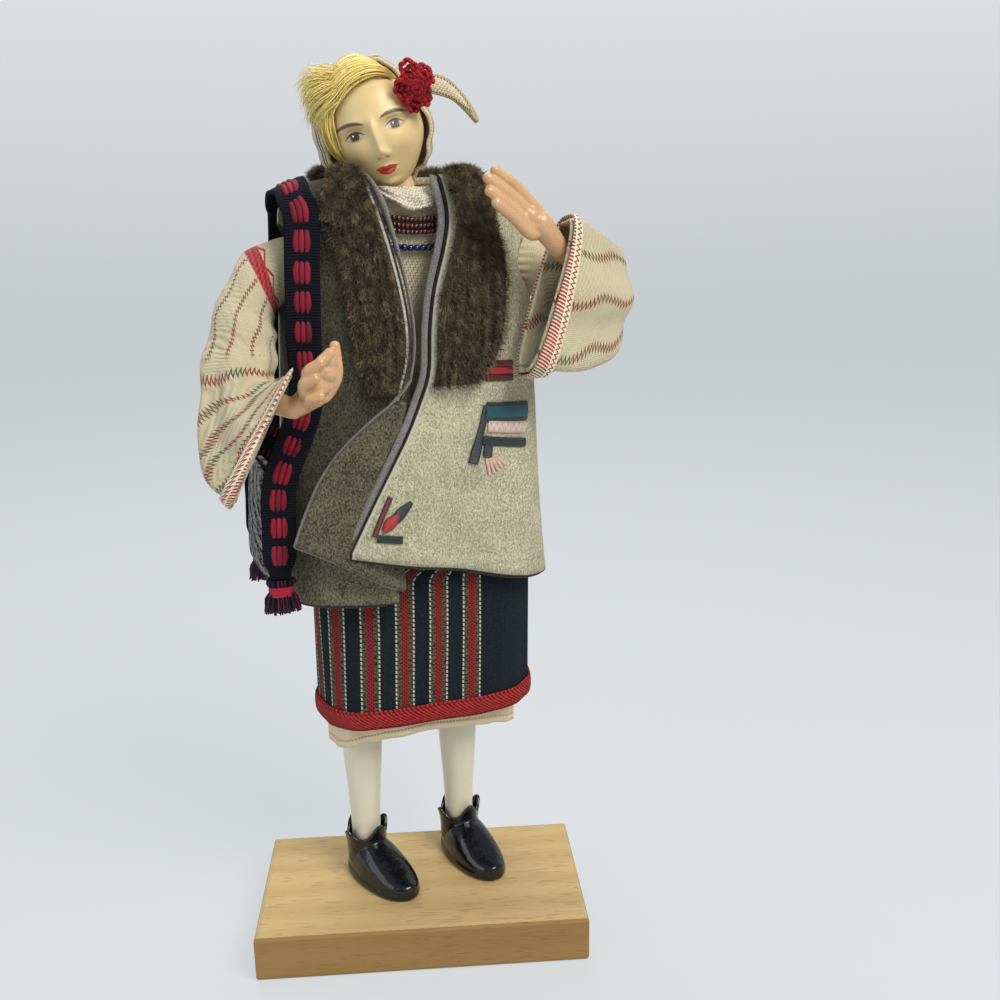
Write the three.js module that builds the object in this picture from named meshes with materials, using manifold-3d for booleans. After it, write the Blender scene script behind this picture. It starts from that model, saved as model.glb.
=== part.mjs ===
// A folk doll in winter dress on a wooden base: millimetres, +Z up, the front of the base along -Y.
// The origin is the centre of the underside of the base.

import * as THREE from 'three';
import { mergeVertices } from 'three/addons/utils/BufferGeometryUtils.js';
import Module from 'manifold-3d';

const wasm = await Module();
wasm.setup();

// Clearances
const FIT = 0.3;
const EASE = 0.6;

// Base block
const BASE_LENGTH = 82;
const BASE_DEPTH = 43;
const BASE_HEIGHT = 12.5;
const BASE_EDGE = 1.2;

// Where the doll stands on the base, and how far it is turned
const DOLL_X = 1;
const DOLL_Y = 6;
const DOLL_TURN = 16;

// Legs, measured from the top of the base
const RIGHT_LEG_X = -15;
const LEFT_LEG_X = 11;
const RIGHT_LEG_Y = 3.2;
const LEFT_LEG_Y = 4;
const HIP_X = 8.3;
const ANKLE_RADIUS = 3.6;
const CALF_RADIUS = 5.2;
const THIGH_RADIUS = 6.2;
const CALF_Z = 40;
const KNEE_Z = 58;
const HIP_Z = 84;
const LEG_PEG_RADIUS = 2.5;
const LEG_PEG_LENGTH = 5;

// Shoes
const SHOE_LENGTH = 26;
const SHOE_WIDTH = 11.6;
const SHOE_HEIGHT = 10.4;
const TOE_SHARE = 0.42;
const SHOE_WALL = 0.8;
const SOLE_THICKNESS = 2.4;
const SOLE_RIM = 0.5;
const ANKLE_SETBACK = 6.5;
const COLLAR_Z = 11;
const TONGUE_RISE = 3.8;
const TAB_RISE = 2.2;
const TAB_FLARE = 1.3;
const RIGHT_TOE_TURN = 22;
const LEFT_TOE_TURN = 12;

// Screws from below
const SCREW_RADIUS = 1.2;
const SCREW_HEAD_RADIUS = 2.6;
const SCREW_HEAD_HEIGHT = 2;
const SCREW_BITE = 9;

// Vest, which is the outer outline of the figure
const FULLNESS = 2.6;
const VEST_THICKNESS = 1.9;
const VEST_BACK_HEM_Z = 80;
const VEST_HEM_HALF_WIDTH = 33;
const VEST_HEM_HALF_DEPTH = 18;
const VEST_SHOULDER_Z = 168;
const VEST_SHOULDER_HALF_WIDTH = 28.6;
const VEST_SHOULDER_HALF_DEPTH = 13;
const VEST_NECK_Z = 176.6;
const VEST_NECK_HALF_WIDTH = 12.6;
const VEST_NECK_HALF_DEPTH = 10.4;
const FLAP_STAND = 0.6;
const FLAP_CURL = 5;
const ARMHOLE_Z = 157;
const ARMHOLE_RADIUS = 9.6;

// Fur and cords on the vest
const FUR_THICKNESS = 2.6;
const FUR_BOTTOM_Z = 131;
const COLLAR_SHARE = 0.65;
const CORD_RADIUS = 0.65;

// Body and bodice
const BODICE_THICKNESS = 0.8;
const BODICE_HEM_Z = 104;
const BODICE_WAIST_HALF_WIDTH = 15;
const BODICE_WAIST_HALF_DEPTH = 8;
const BODICE_SHOULDER_HALF_WIDTH = 21;
const BODICE_SHOULDER_HALF_DEPTH = 9.4;
const BODICE_SHOULDER_Z = 166;
const BODICE_NECK_Z = 173.6;
const BODICE_NECK_HALF_WIDTH = 8.6;
const BODICE_NECK_HALF_DEPTH = 7.4;
const HIPS_Z = 86;

// Skirt, petticoat and belt
const SKIRT_THICKNESS = 0.9;
const SKIRT_HEM_Z = 47.6;
const SKIRT_TOP_Z = 109;
const SKIRT_X = 1;
const SKIRT_HALF_WIDTH = 26.4;
const SKIRT_Y = 1.2;
const SKIRT_HALF_DEPTH = 14;
const SKIRT_LAP = 1.7;
const SKIRT_LAP_TURN = 24;
const HEM_BAND_HEIGHT = 4.8;
const HEM_BAND_THICKNESS = 0.5;
const PETTICOAT_THICKNESS = 0.7;
const PETTICOAT_HEM_Z = 41.6;
const PETTICOAT_LOBE = 2.2;
const PETTICOAT_GAP = 1.2;
const BELT_HEIGHT = 6;
const BELT_THICKNESS = 1;

// Head, with its pivot on top of the neck
const NECK_X = -1.6;
const NECK_Y = -1.5;
const NECK_Z = 171.7;
const NECK_RADIUS = 4.2;
const NECK_POST_RISE = 7;
const HEAD_TURN = -16;
const HEAD_LEAN = -16;
const HEAD_NOD = 8;
const HEAD_RISE = 15.6;
const HEAD_HALF_WIDTH = 10.2;
const HEAD_HALF_DEPTH = 11.6;
const HEAD_HALF_HEIGHT = 13.4;
const HAIR_THICKNESS = 1.6;
const HAIR_TUFT = 5;
const TAIL_WIDTH = 8;
const TAIL_LENGTH = 8.6;
const TAIL_DROP = 4;
const FLOWER_RADIUS = 4.4;
const FLOWER_TURNS = 4;
const FLOWER_EDGE = 0.9;
const FLOWER_CROWN = 1.7;
const SCARF_THICKNESS = 1.1;
const SCARF_STAND = 1.7;

// Neck scarf and beads
const NECK_SCARF_HALF_WIDTH = 7.8;
const NECK_SCARF_HALF_DEPTH = 7.4;
const NECK_SCARF_THICKNESS = 1.2;
const NECK_SCARF_RISE = 0.6;
const NECK_SCARF_FRONT_Z = 168.6;
const NECK_SCARF_FRONT_TOP_Z = 172.4;
const RED_BEAD_RADIUS = 0.56;
const RED_BEADS = 17;
const RED_BEADS_Z = 167;
const BLUE_BEAD_RADIUS = 0.72;
const BLUE_BEADS = 13;
const BLUE_BEADS_Z = 161;
const BEAD_THREAD_RADIUS = 0.25;
const BEAD_SPACING = 1.45;
const STRING_HALF_WIDTH = 9.4;
const STRING_RISE = 1.8;

// Arms and sleeves
const SHOULDER_RADIUS = 4;
const UPPER_ARM_RADIUS = 3.1;
const ELBOW_RADIUS = 2.9;
const WRIST_RADIUS = 2.2;
const PALM_RADIUS = 2.9;
const FINGER_RADIUS = 1.25;
const FINGER_TAPER = 0.14;
const SLEEVE_WALL = 0.8;
const ARM_PIN_RADIUS = 2;
const ARM_PIN_LENGTH = 6;
const CUFF_THICKNESS = 0.55;
const CUFF_SHARE = 0.47;

// Bag
const BAG_THICKNESS = 5.2;
const BAG_WIDTH = 23;
const BAG_TOP_Z = 113;
const BAG_BOTTOM_Z = 88.5;
const STRAP_WIDTH = 7.5;
const STRAP_THICKNESS = 0.9;
const TASSEL_LENGTH = 8;

const degrees = Math.PI / 180;
const point = (x, y, z) => new THREE.Vector3(x, y, z);
const mix = THREE.MathUtils.lerp;

// Evenly spaced values
const evenly = (count, from, to) => Array.from({ length: count + 1 }, (_, i) => mix(from, to, i / count));

// A smooth step from 0 where v is at from, to 1 where it is at to
function soft(v, from, to) {
  const t = THREE.MathUtils.clamp((v - from) / (to - from), 0, 1);
  return t * t * (3 - 2 * t);
}

// Makes a mesh geometry of a list of points and a list of triangles, with its faces pointing out.
function closedSkin(points, triangles) {
  let volume = 0;
  for (let i = 0; i < triangles.length; i += 3) {
    const [a, b, c] = [points[triangles[i]], points[triangles[i + 1]], points[triangles[i + 2]]];
    volume += a.dot(b.clone().cross(c));
  }
  const order = volume < 0 ? triangles.slice().reverse() : triangles;
  const geometry = new THREE.BufferGeometry();
  geometry.setAttribute('position', new THREE.Float32BufferAttribute(points.flatMap((p) => p.toArray()), 3));
  geometry.setIndex(order);
  geometry.computeVertexNormals();
  return geometry;
}

// A sheet with a thickness: place(s, t, depth) gives a point of the outer face at depth 0 and of
// the inner face at depth 1. A round sheet closes on itself along s.
function sheet(columns, rows, place, round = false) {
  const points = [];
  const triangles = [];
  const across = round ? columns : columns + 1;
  const index = (i, j, face) => face * across * (rows + 1) + j * across + (round ? i % columns : i);
  for (const depth of [0, 1]) {
    for (let j = 0; j <= rows; j += 1) {
      for (let i = 0; i < across; i += 1) points.push(place(i / columns, j / rows, depth));
    }
  }
  const quad = (a, b, c, d) => triangles.push(a, b, c, a, c, d);
  for (let j = 0; j < rows; j += 1) {
    for (let i = 0; i < columns; i += 1) {
      quad(index(i, j, 0), index(i + 1, j, 0), index(i + 1, j + 1, 0), index(i, j + 1, 0));
      quad(index(i, j, 1), index(i, j + 1, 1), index(i + 1, j + 1, 1), index(i + 1, j, 1));
    }
  }
  for (let i = 0; i < columns; i += 1) {
    quad(index(i, 0, 1), index(i + 1, 0, 1), index(i + 1, 0, 0), index(i, 0, 0));
    quad(index(i, rows, 0), index(i + 1, rows, 0), index(i + 1, rows, 1), index(i, rows, 1));
  }
  if (!round) {
    for (let j = 0; j < rows; j += 1) {
      quad(index(0, j, 1), index(0, j, 0), index(0, j + 1, 0), index(0, j + 1, 1));
      quad(index(columns, j, 0), index(columns, j, 1), index(columns, j + 1, 1), index(columns, j + 1, 0));
    }
  }
  return closedSkin(points, triangles);
}

// A solid through rings of points, closed by a fan at each end.
function loft(rings) {
  const sides = rings[0].length;
  const points = rings.flat();
  const triangles = [];
  for (let j = 0; j + 1 < rings.length; j += 1) {
    for (let i = 0; i < sides; i += 1) {
      const [a, b] = [j * sides + i, j * sides + ((i + 1) % sides)];
      triangles.push(a, b, b + sides, a, b + sides, a + sides);
    }
  }
  for (const [ring, flip] of [[0, true], [rings.length - 1, false]]) {
    const centre = rings[ring].reduce((sum, p) => sum.add(p), point(0, 0, 0)).divideScalar(sides);
    points.push(centre);
    for (let i = 0; i < sides; i += 1) {
      const [a, b] = [ring * sides + i, ring * sides + ((i + 1) % sides)];
      triangles.push(...(flip ? [b, a, points.length - 1] : [a, b, points.length - 1]));
    }
  }
  return closedSkin(points, triangles);
}

// Booleans
function toSolid(geometry) {
  const bare = geometry.clone();
  bare.deleteAttribute('normal');
  bare.deleteAttribute('uv');
  const merged = mergeVertices(bare, 1e-4);
  return new wasm.Manifold(new wasm.Mesh({
    numProp: 3,
    vertProperties: new Float32Array(merged.attributes.position.array),
    triVerts: new Uint32Array(merged.index.array),
  }));
}

function toGeometry(solid) {
  const mesh = solid.getMesh();
  const geometry = new THREE.BufferGeometry();
  geometry.setAttribute('position', new THREE.BufferAttribute(mesh.vertProperties, 3));
  geometry.setIndex(new THREE.BufferAttribute(mesh.triVerts, 1));
  geometry.computeVertexNormals();
  return geometry;
}

const joined = (...shapes) => toGeometry(shapes.map(toSolid).reduce((a, b) => a.add(b)));
const cut = (shape, ...tools) => toGeometry(
  tools.map(toSolid).reduce((a, b) => a.subtract(b), toSolid(shape)),
);

// Rods: a straight tapered rod with rounded ends, and a chain of them.
function rod(from, to, fromRadius, toRadius, sides = 10) {
  const along = to.clone().sub(from);
  const length = along.length();
  const profile = [
    new THREE.Vector2(0, -fromRadius * 0.7),
    new THREE.Vector2(fromRadius, 0),
    new THREE.Vector2(toRadius, length),
    new THREE.Vector2(0, length + toRadius * 0.7),
  ];
  const geometry = new THREE.LatheGeometry(profile, sides);
  geometry.applyQuaternion(new THREE.Quaternion().setFromUnitVectors(point(0, 1, 0), along.normalize()));
  return geometry.translate(from.x, from.y, from.z);
}

function chain(stations, sides = 8) {
  const rods = stations.slice(1).map((end, i) => {
    const start = stations[i];
    return rod(start.at, end.at, start.r, end.r, sides);
  });
  return joined(...rods);
}

function cylinder(radius, height, sides = 20) {
  return new THREE.CylinderGeometry(radius, radius, height, sides).rotateX(Math.PI / 2);
}

// Outline of the clothes at one height: a full oval.
function oval(turn, halfWidth, halfDepth) {
  const [c, s] = [Math.cos(turn), Math.sin(turn)];
  const power = 2 / FULLNESS;
  return [halfWidth * Math.sign(c) * Math.abs(c) ** power, halfDepth * Math.sign(s) * Math.abs(s) ** power];
}

// The turn on the front half of an oval at which it reaches the width x.
function frontTurn(x, halfWidth) {
  const share = Math.min(1, Math.abs(x / halfWidth)) ** (FULLNESS / 2);
  return -Math.acos(Math.sign(x) * share);
}

// Fits a smooth line through a few stations of [z, value].
function smoothLine(stations) {
  return (z) => {
    if (z <= stations[0][0]) return stations[0][1];
    for (let i = 0; i + 1 < stations.length; i += 1) {
      const [[z0, v0], [z1, v1]] = [stations[i], stations[i + 1]];
      if (z <= z1) {
        const before = stations[Math.max(0, i - 1)];
        const after = stations[Math.min(stations.length - 1, i + 2)];
        const t = (z - z0) / (z1 - z0);
        const m0 = (v1 - before[1]) / (z1 - before[0]) * (z1 - z0);
        const m1 = (after[1] - v0) / (after[0] - z0) * (z1 - z0);
        const h = t * t * (3 - 2 * t);
        return v0 + (v1 - v0) * h + m0 * t * (1 - t) ** 2 - m1 * t * t * (1 - t);
      }
    }
    return stations[stations.length - 1][1];
  };
}

// The figure: below the shoulder an upright oval, above it a quarter round that closes to the neck.
// Its height coordinate q is 0 at the hem, 1 at the shoulder and 2 at the neck.
class Figure {
  constructor(spec) {
    Object.assign(this, { y: 0 }, spec);
  }

  // The height of q, a distance inside the outer face.
  section(q, inset) {
    if (q <= 1) {
      return {
        z: mix(this.hemZ, this.shoulderZ, q),
        a: mix(this.hem[0], this.shoulder[0], q) - inset,
        b: mix(this.hem[1], this.shoulder[1], q) - inset,
      };
    }
    const turn = (q - 1) * Math.PI / 2;
    return {
      z: this.shoulderZ + (this.neckZ - this.shoulderZ - inset) * Math.sin(turn),
      a: mix(this.neck[0], this.shoulder[0] - inset, Math.cos(turn)),
      b: mix(this.neck[1], this.shoulder[1] - inset, Math.cos(turn)),
    };
  }

  at(q, turn, inset = 0) {
    const { z, a, b } = this.section(q, inset);
    const [x, y] = oval(turn, a, b);
    return point(x, this.y + y, z);
  }

  qOf(z) {
    if (z <= this.shoulderZ) return (z - this.hemZ) / (this.shoulderZ - this.hemZ);
    const rise = Math.min(1, (z - this.shoulderZ) / (this.neckZ - this.shoulderZ));
    return 1 + Math.asin(rise) / (Math.PI / 2);
  }

  // The point of the front at x and z, a distance outside the outer face.
  front(x, z, outside = 0) {
    const q = this.qOf(z);
    const { a } = this.section(q, -outside);
    return this.at(q, frontTurn(x, a), -outside);
  }
}

const vest = new Figure({
  hemZ: VEST_BACK_HEM_Z,
  shoulderZ: VEST_SHOULDER_Z,
  neckZ: VEST_NECK_Z,
  hem: [VEST_HEM_HALF_WIDTH, VEST_HEM_HALF_DEPTH],
  shoulder: [VEST_SHOULDER_HALF_WIDTH, VEST_SHOULDER_HALF_DEPTH],
  neck: [VEST_NECK_HALF_WIDTH, VEST_NECK_HALF_DEPTH],
});

// The bodice lies against the back of the vest.
const bodice = new Figure({
  y: VEST_SHOULDER_HALF_DEPTH - VEST_THICKNESS - FIT - BODICE_SHOULDER_HALF_DEPTH,
  hemZ: BODICE_HEM_Z,
  shoulderZ: BODICE_SHOULDER_Z,
  neckZ: BODICE_NECK_Z,
  hem: [BODICE_WAIST_HALF_WIDTH, BODICE_WAIST_HALF_DEPTH],
  shoulder: [BODICE_SHOULDER_HALF_WIDTH, BODICE_SHOULDER_HALF_DEPTH],
  neck: [BODICE_NECK_HALF_WIDTH, BODICE_NECK_HALF_DEPTH],
});
const BODY_INSET = BODICE_THICKNESS + FIT;
const CHEST_SIDES = 18;
const CHEST_LEVELS = [0, 0.5, 1, 1.3, 1.56, 1.8];

// Picks the level of a row out of a list of levels.
const levelAt = (levels, t) => levels[Math.round(t * (levels.length - 1))];

const doll = new THREE.Group();
doll.position.set(DOLL_X, DOLL_Y, BASE_HEIGHT);
doll.rotation.z = DOLL_TURN * degrees;

const model = new THREE.Group();
model.add(doll);

function piece(parent, name, geometry, colour, roughness, metalness = 0) {
  const material = new THREE.MeshStandardMaterial({ color: colour, roughness, metalness });
  const mesh = new THREE.Mesh(geometry, material);
  mesh.name = name;
  parent.add(mesh);
  return mesh;
}

// Base block with eased edges, drilled and countersunk from below for the two screws
function dollToBase(x, y) {
  return point(x, y, 0).applyAxisAngle(point(0, 0, 1), DOLL_TURN * degrees).add(point(DOLL_X, DOLL_Y, 0));
}

function screwShape(extra, top) {
  const profile = [
    new THREE.Vector2(0, 0),
    new THREE.Vector2(SCREW_HEAD_RADIUS + extra, 0),
    new THREE.Vector2(SCREW_RADIUS + extra, SCREW_HEAD_HEIGHT + extra),
    new THREE.Vector2(SCREW_RADIUS + extra, top - SCREW_RADIUS + extra),
    new THREE.Vector2(0, top + extra),
  ];
  return new THREE.LatheGeometry(profile, 14).rotateX(Math.PI / 2);
}

const legs = [
  { side: 'right', x: RIGHT_LEG_X, y: RIGHT_LEG_Y, hip: -HIP_X, turn: RIGHT_TOE_TURN },
  { side: 'left', x: LEFT_LEG_X, y: LEFT_LEG_Y, hip: HIP_X, turn: LEFT_TOE_TURN },
];
const SCREW_TOP = BASE_HEIGHT + SOLE_THICKNESS + SCREW_BITE;

function screwAt(leg, extra) {
  const foot = dollToBase(leg.x, leg.y);
  return screwShape(extra, SCREW_TOP).translate(foot.x, foot.y, extra ? -0.01 : FIT);
}

function baseBlock() {
  const outline = new THREE.Shape();
  const [w, d] = [BASE_LENGTH / 2 - BASE_EDGE, BASE_DEPTH / 2 - BASE_EDGE];
  outline.moveTo(-w, -d);
  outline.lineTo(w, -d);
  outline.lineTo(w, d);
  outline.lineTo(-w, d);
  const block = new THREE.ExtrudeGeometry(outline, {
    depth: BASE_HEIGHT - 2 * BASE_EDGE,
    bevelSize: BASE_EDGE,
    bevelThickness: BASE_EDGE,
    bevelSegments: 2,
  });
  block.translate(0, 0, BASE_EDGE);
  return cut(block, ...legs.map((leg) => screwAt(leg, FIT)));
}

piece(model, 'base_block', baseBlock(), 0xc8a060, 0.55);
for (const leg of legs) piece(model, `foot_screw_${leg.side}`, screwAt(leg, 0), 0x9a9a94, 0.35, 1);

// Legs: an ankle, a calf, a knee and a thigh that leans in to the hip, with a peg for the body
const legRadius = smoothLine([
  [0, ANKLE_RADIUS],
  [18, ANKLE_RADIUS + 0.3],
  [CALF_Z, CALF_RADIUS],
  [KNEE_Z, CALF_RADIUS - 0.2],
  [HIP_Z, THIGH_RADIUS],
]);

function legShape(leg, extra) {
  const rings = [];
  const levels = 7;
  for (let j = 0; j <= levels; j += 1) {
    const z = mix(SOLE_THICKNESS + FIT, HIP_Z, j / levels);
    const lean = soft(z, CALF_Z - 5, HIP_Z);
    const [x, y] = [mix(leg.x, leg.hip, lean), mix(leg.y, bodice.y, lean)];
    const ring = [];
    for (let i = 0; i < 12; i += 1) {
      const turn = i / 12 * Math.PI * 2;
      const radius = legRadius(z) + extra;
      ring.push(point(x + radius * Math.cos(turn), y + radius * Math.sin(turn), z));
    }
    rings.push(ring);
  }
  return loft(rings);
}

function hipPeg(leg, extra) {
  const height = LEG_PEG_LENGTH + extra;
  return cylinder(LEG_PEG_RADIUS + extra, height + 2, 12)
    .translate(leg.hip, bodice.y, HIP_Z + height / 2 - 1);
}

function inDoll(geometry) {
  const toDoll = new THREE.Matrix4().makeRotationZ(DOLL_TURN * degrees);
  toDoll.setPosition(DOLL_X, DOLL_Y, BASE_HEIGHT);
  return geometry.applyMatrix4(toDoll.invert());
}

for (const leg of legs) {
  const shape = cut(joined(legShape(leg, 0), hipPeg(leg, 0)), inDoll(screwAt(leg, FIT)));
  piece(doll, `leg_${leg.side}`, shape, 0xebe6d7, 0.45);
}

// Shoes: a moulded foot with a thin ankle collar whose tongue, heel and side tabs stand off the leg
function footShape() {
  const rings = [];
  const steps = 8;
  for (let j = 0; j <= steps; j += 1) {
    const run = j / steps;
    const y = mix(-SHOE_LENGTH / 2, SHOE_LENGTH / 2, (1 - Math.cos(run * Math.PI)) / 2);
    const end = Math.sqrt(Math.max(0.02, 1 - Math.abs(y / (SHOE_LENGTH / 2)) ** 2.6));
    const half = (SHOE_WIDTH / 2) * end * mix(1, 0.9, soft(y, 0, SHOE_LENGTH / 2));
    const rise = mix(TOE_SHARE, 1, soft(y, -SHOE_LENGTH / 2, SHOE_LENGTH / 6));
    const height = SHOE_HEIGHT * rise * mix(0.7, 1, end);
    const ring = [
      point(-half - SOLE_RIM * end, y, 0),
      point(-half - SOLE_RIM * end, y, SOLE_THICKNESS / 2),
      point(-half, y, SOLE_THICKNESS * 0.7),
    ];
    for (let i = 1; i < 5; i += 1) {
      const turn = Math.PI * (1 - i / 5);
      ring.push(point(
        half * Math.cos(turn),
        y,
        SOLE_THICKNESS * 0.7 + (height - SOLE_THICKNESS * 0.7) * Math.sin(turn) ** 0.8,
      ));
    }
    ring.push(
      point(half, y, SOLE_THICKNESS * 0.7),
      point(half + SOLE_RIM * end, y, SOLE_THICKNESS / 2),
      point(half + SOLE_RIM * end, y, 0),
    );
    rings.push(ring);
  }
  return loft(rings);
}

function tabs(turn) {
  const bump = (centre, width) => Math.exp(-((Math.atan2(
    Math.sin(turn - centre),
    Math.cos(turn - centre),
  ) / width) ** 2));
  return {
    rise: TONGUE_RISE * bump(-Math.PI / 2, 0.42) + TAB_RISE * (bump(Math.PI / 2, 0.4) + bump(0, 0.34)
      + bump(Math.PI, 0.34)),
    flare: TAB_FLARE * (bump(-Math.PI / 2, 0.5) + bump(Math.PI / 2, 0.5) + bump(0, 0.4) + bump(Math.PI, 0.4)),
  };
}

function shoeShape(leg) {
  const collar = sheet(16, 2, (s, t, depth) => {
    const turn = s * Math.PI * 2;
    const { rise, flare } = tabs(turn);
    const z = mix(SOLE_THICKNESS + 1.2, COLLAR_Z + rise, t);
    const radius = legRadius(z) + EASE + SHOE_WALL * (1 - depth) + flare * t ** 3;
    return point(radius * Math.cos(turn), radius * Math.sin(turn), z);
  }, true);
  const foot = footShape().translate(0, -ANKLE_SETBACK, 0);
  const bore = cylinder(ANKLE_RADIUS + EASE, 2 * COLLAR_Z).translate(0, 0, SOLE_THICKNESS + COLLAR_Z);
  const turned = joined(cut(foot, bore), collar);
  turned.rotateZ(leg.turn * degrees).translate(leg.x, leg.y, FIT);
  return cut(turned, inDoll(screwAt(leg, FIT)));
}

for (const leg of legs) piece(doll, `shoe_${leg.side}`, shoeShape(leg), 0x0c0c0e, 0.18);

// Body: hips, waist and chest in one moulding with leg sockets, arm bores and the neck post
const shoulderX = bodice.section(bodice.qOf(ARMHOLE_Z), BODY_INSET).a;

function headPlace(x, y, z) {
  const turn = new THREE.Euler(HEAD_NOD * degrees, HEAD_LEAN * degrees, HEAD_TURN * degrees, 'ZYX');
  return point(x, y, z).applyEuler(turn).add(point(NECK_X, NECK_Y, NECK_Z));
}

function bodyShape() {
  const rings = [];
  for (const q of [bodice.qOf(HIPS_Z), ...CHEST_LEVELS]) {
    const ring = [];
    for (let i = 0; i < CHEST_SIDES; i += 1) {
      ring.push(bodice.at(q, i / CHEST_SIDES * Math.PI * 2, BODY_INSET));
    }
    rings.push(ring);
  }
  const post = rod(headPlace(0, 0, -4), headPlace(0, 0, NECK_POST_RISE), NECK_RADIUS, NECK_RADIUS, 14);
  const arms = cylinder(ARM_PIN_RADIUS + FIT, 2 * (ARM_PIN_LENGTH + FIT), 12).rotateY(Math.PI / 2);
  return cut(
    joined(loft(rings), post),
    ...legs.map((leg) => hipPeg(leg, FIT)),
    arms.clone().translate(-shoulderX, 0, ARMHOLE_Z),
    arms.clone().translate(shoulderX, 0, ARMHOLE_Z),
  );
}

piece(doll, 'body', bodyShape(), 0xe0b890, 0.5);

// Bodice of the shift, open at the neck, the waist and the armholes
function armholes(radius) {
  const reach = 2 * VEST_HEM_HALF_WIDTH;
  return [-1, 1].map((side) => cylinder(radius, reach, 20)
    .rotateY(Math.PI / 2)
    .translate(side * (reach / 2 + shoulderX - 2), 0, ARMHOLE_Z));
}

function bodiceShape() {
  const shell = sheet(CHEST_SIDES, CHEST_LEVELS.length - 1, (s, t, depth) => bodice.at(
    levelAt(CHEST_LEVELS, t),
    s * Math.PI * 2,
    depth * BODICE_THICKNESS,
  ), true);
  return cut(shell, ...armholes(ARMHOLE_RADIUS - 1.2));
}

piece(doll, 'shift_bodice', bodiceShape(), 0xe6dcc2, 0.85);

// Petticoat with shallow folds and a hem that dips round each leg
const SPREAD_TOP_Z = SKIRT_TOP_Z - BELT_HEIGHT - 2;
const SPREAD_FOOT_Z = SKIRT_TOP_Z - 25;
const SPREAD_LEVELS = [SPREAD_FOOT_Z, mix(SPREAD_FOOT_Z, SPREAD_TOP_Z, 0.5), SPREAD_TOP_Z];
const waist = bodice.section(bodice.qOf(SKIRT_TOP_Z), 0);

function skirtSection(z, inset) {
  const spread = soft(z, SPREAD_TOP_Z, SPREAD_FOOT_Z);
  return {
    x: SKIRT_X * spread,
    y: mix(bodice.y, SKIRT_Y, spread),
    a: mix(waist.a + EASE + SKIRT_THICKNESS, SKIRT_HALF_WIDTH, spread) - inset,
    b: mix(waist.b + EASE + SKIRT_THICKNESS, SKIRT_HALF_DEPTH, spread) - inset,
  };
}

function petticoatShape() {
  const levels = [PETTICOAT_HEM_Z, ...SPREAD_LEVELS, BODICE_HEM_Z - FIT];
  return sheet(26, levels.length - 1, (s, t, depth) => {
    const turn = s * Math.PI * 2;
    const lobes = PETTICOAT_LOBE * Math.cos(2 * turn + 0.2);
    const z = levelAt(levels, t) - (t === 0 ? lobes : 0);
    const full = soft(z, BODICE_HEM_Z, SPREAD_FOOT_Z);
    const gap = mix(EASE, PETTICOAT_GAP, full);
    const outer = skirtSection(z, SKIRT_THICKNESS + gap + depth * PETTICOAT_THICKNESS);
    const fold = 0.35 * Math.sin(9 * turn) * full * (1 - t);
    const [x, y] = oval(turn, outer.a + fold, outer.b + fold);
    return point(outer.x + x, outer.y + y, z);
  }, true);
}

piece(doll, 'petticoat', petticoatShape(), 0xe1cda5, 0.85);

// Wrap skirt: one sheet whose outer end laps over its start at the doll's left side
const LAP = SKIRT_LAP_TURN * degrees;

function skirtPoint(turn, z, outside) {
  const { x: cx, y: cy, a, b } = skirtSection(z, -outside);
  const lap = SKIRT_LAP * soft(turn, 1.45 * Math.PI, 1.95 * Math.PI);
  const fold = 0.5 * Math.sin(5 * turn + 0.6) * soft(z, VEST_BACK_HEM_Z + 10, SKIRT_HEM_Z);
  const [x, y] = oval(turn, a + lap + fold, b + lap + fold);
  return point(cx + x, cy + y, z);
}

function skirtShape() {
  const levels = [SKIRT_HEM_Z, ...SPREAD_LEVELS, SKIRT_TOP_Z];
  return sheet(36, levels.length - 1, (s, t, depth) => skirtPoint(
    mix(0, 2 * Math.PI + LAP, s),
    levelAt(levels, t),
    -depth * SKIRT_THICKNESS,
  ));
}

piece(doll, 'wrap_skirt', skirtShape(), 0x1b1a22, 0.8);

function hemBandShape() {
  return sheet(34, 1, (s, t, depth) => skirtPoint(
    mix(LAP + 0.08, 2 * Math.PI + LAP, s),
    mix(SKIRT_HEM_Z, SKIRT_HEM_Z + HEM_BAND_HEIGHT, t),
    FIT + (1 - depth) * HEM_BAND_THICKNESS,
  ));
}

piece(doll, 'skirt_hem_band', hemBandShape(), 0xa81f2c, 0.7);

// Woven belt round the waist of the skirt
function beltShape() {
  const middle = SKIRT_TOP_Z - BELT_HEIGHT / 2 - 1.5;
  return sheet(32, 1, (s, t, depth) => {
    const z = middle + (t - 0.5) * BELT_HEIGHT;
    const turn = s * Math.PI * 2;
    const low = skirtSection(middle - BELT_HEIGHT / 2, 0);
    const stand = FIT + SKIRT_LAP + (1 - depth) * BELT_THICKNESS;
    const [x, y] = oval(turn, low.a + stand, low.b + stand);
    return point(low.x + x, low.y + y, z);
  }, true);
}

piece(doll, 'belt', beltShape(), 0x7d1e28, 0.8);

// Vest fronts: x of each front edge at each height
const rightEdge = smoothLine([
  [VEST_BACK_HEM_Z, -8.8],
  [118, -8.4],
  [129, -6.2],
  [137, -4],
  [144, -3.6],
  [152, -4.6],
  [161, -6.6],
  [168, -8.6],
  [VEST_NECK_Z, -11.5],
]);
// Rows of the left front, from the hem to the neck, and its columns
const LEFT_LEVELS = [0, 0.06, 0.12, 0.175, 0.25, 0.34, 0.43, 0.52, 0.64, 0.76, 0.88, 1];
const LEFT_COLUMNS = 11;
const LEFT_CORNER_X = -18;
const LEFT_CORNER_Z = 95.4;
const leftEdge = smoothLine([
  [LEFT_CORNER_Z, LEFT_CORNER_X],
  [106, -13.3],
  [119, -7],
  [132, -0.4],
  [144, 0.9],
  [152, 2.2],
  [162, 5.1],
  [168, 6],
  [VEST_NECK_Z, 4.6],
]);
const LEFT_SIDE_HEM_Z = 81;
const RIGHT_HEM_Z = 81.5;
const RIGHT_ROWS = 9;

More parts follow.
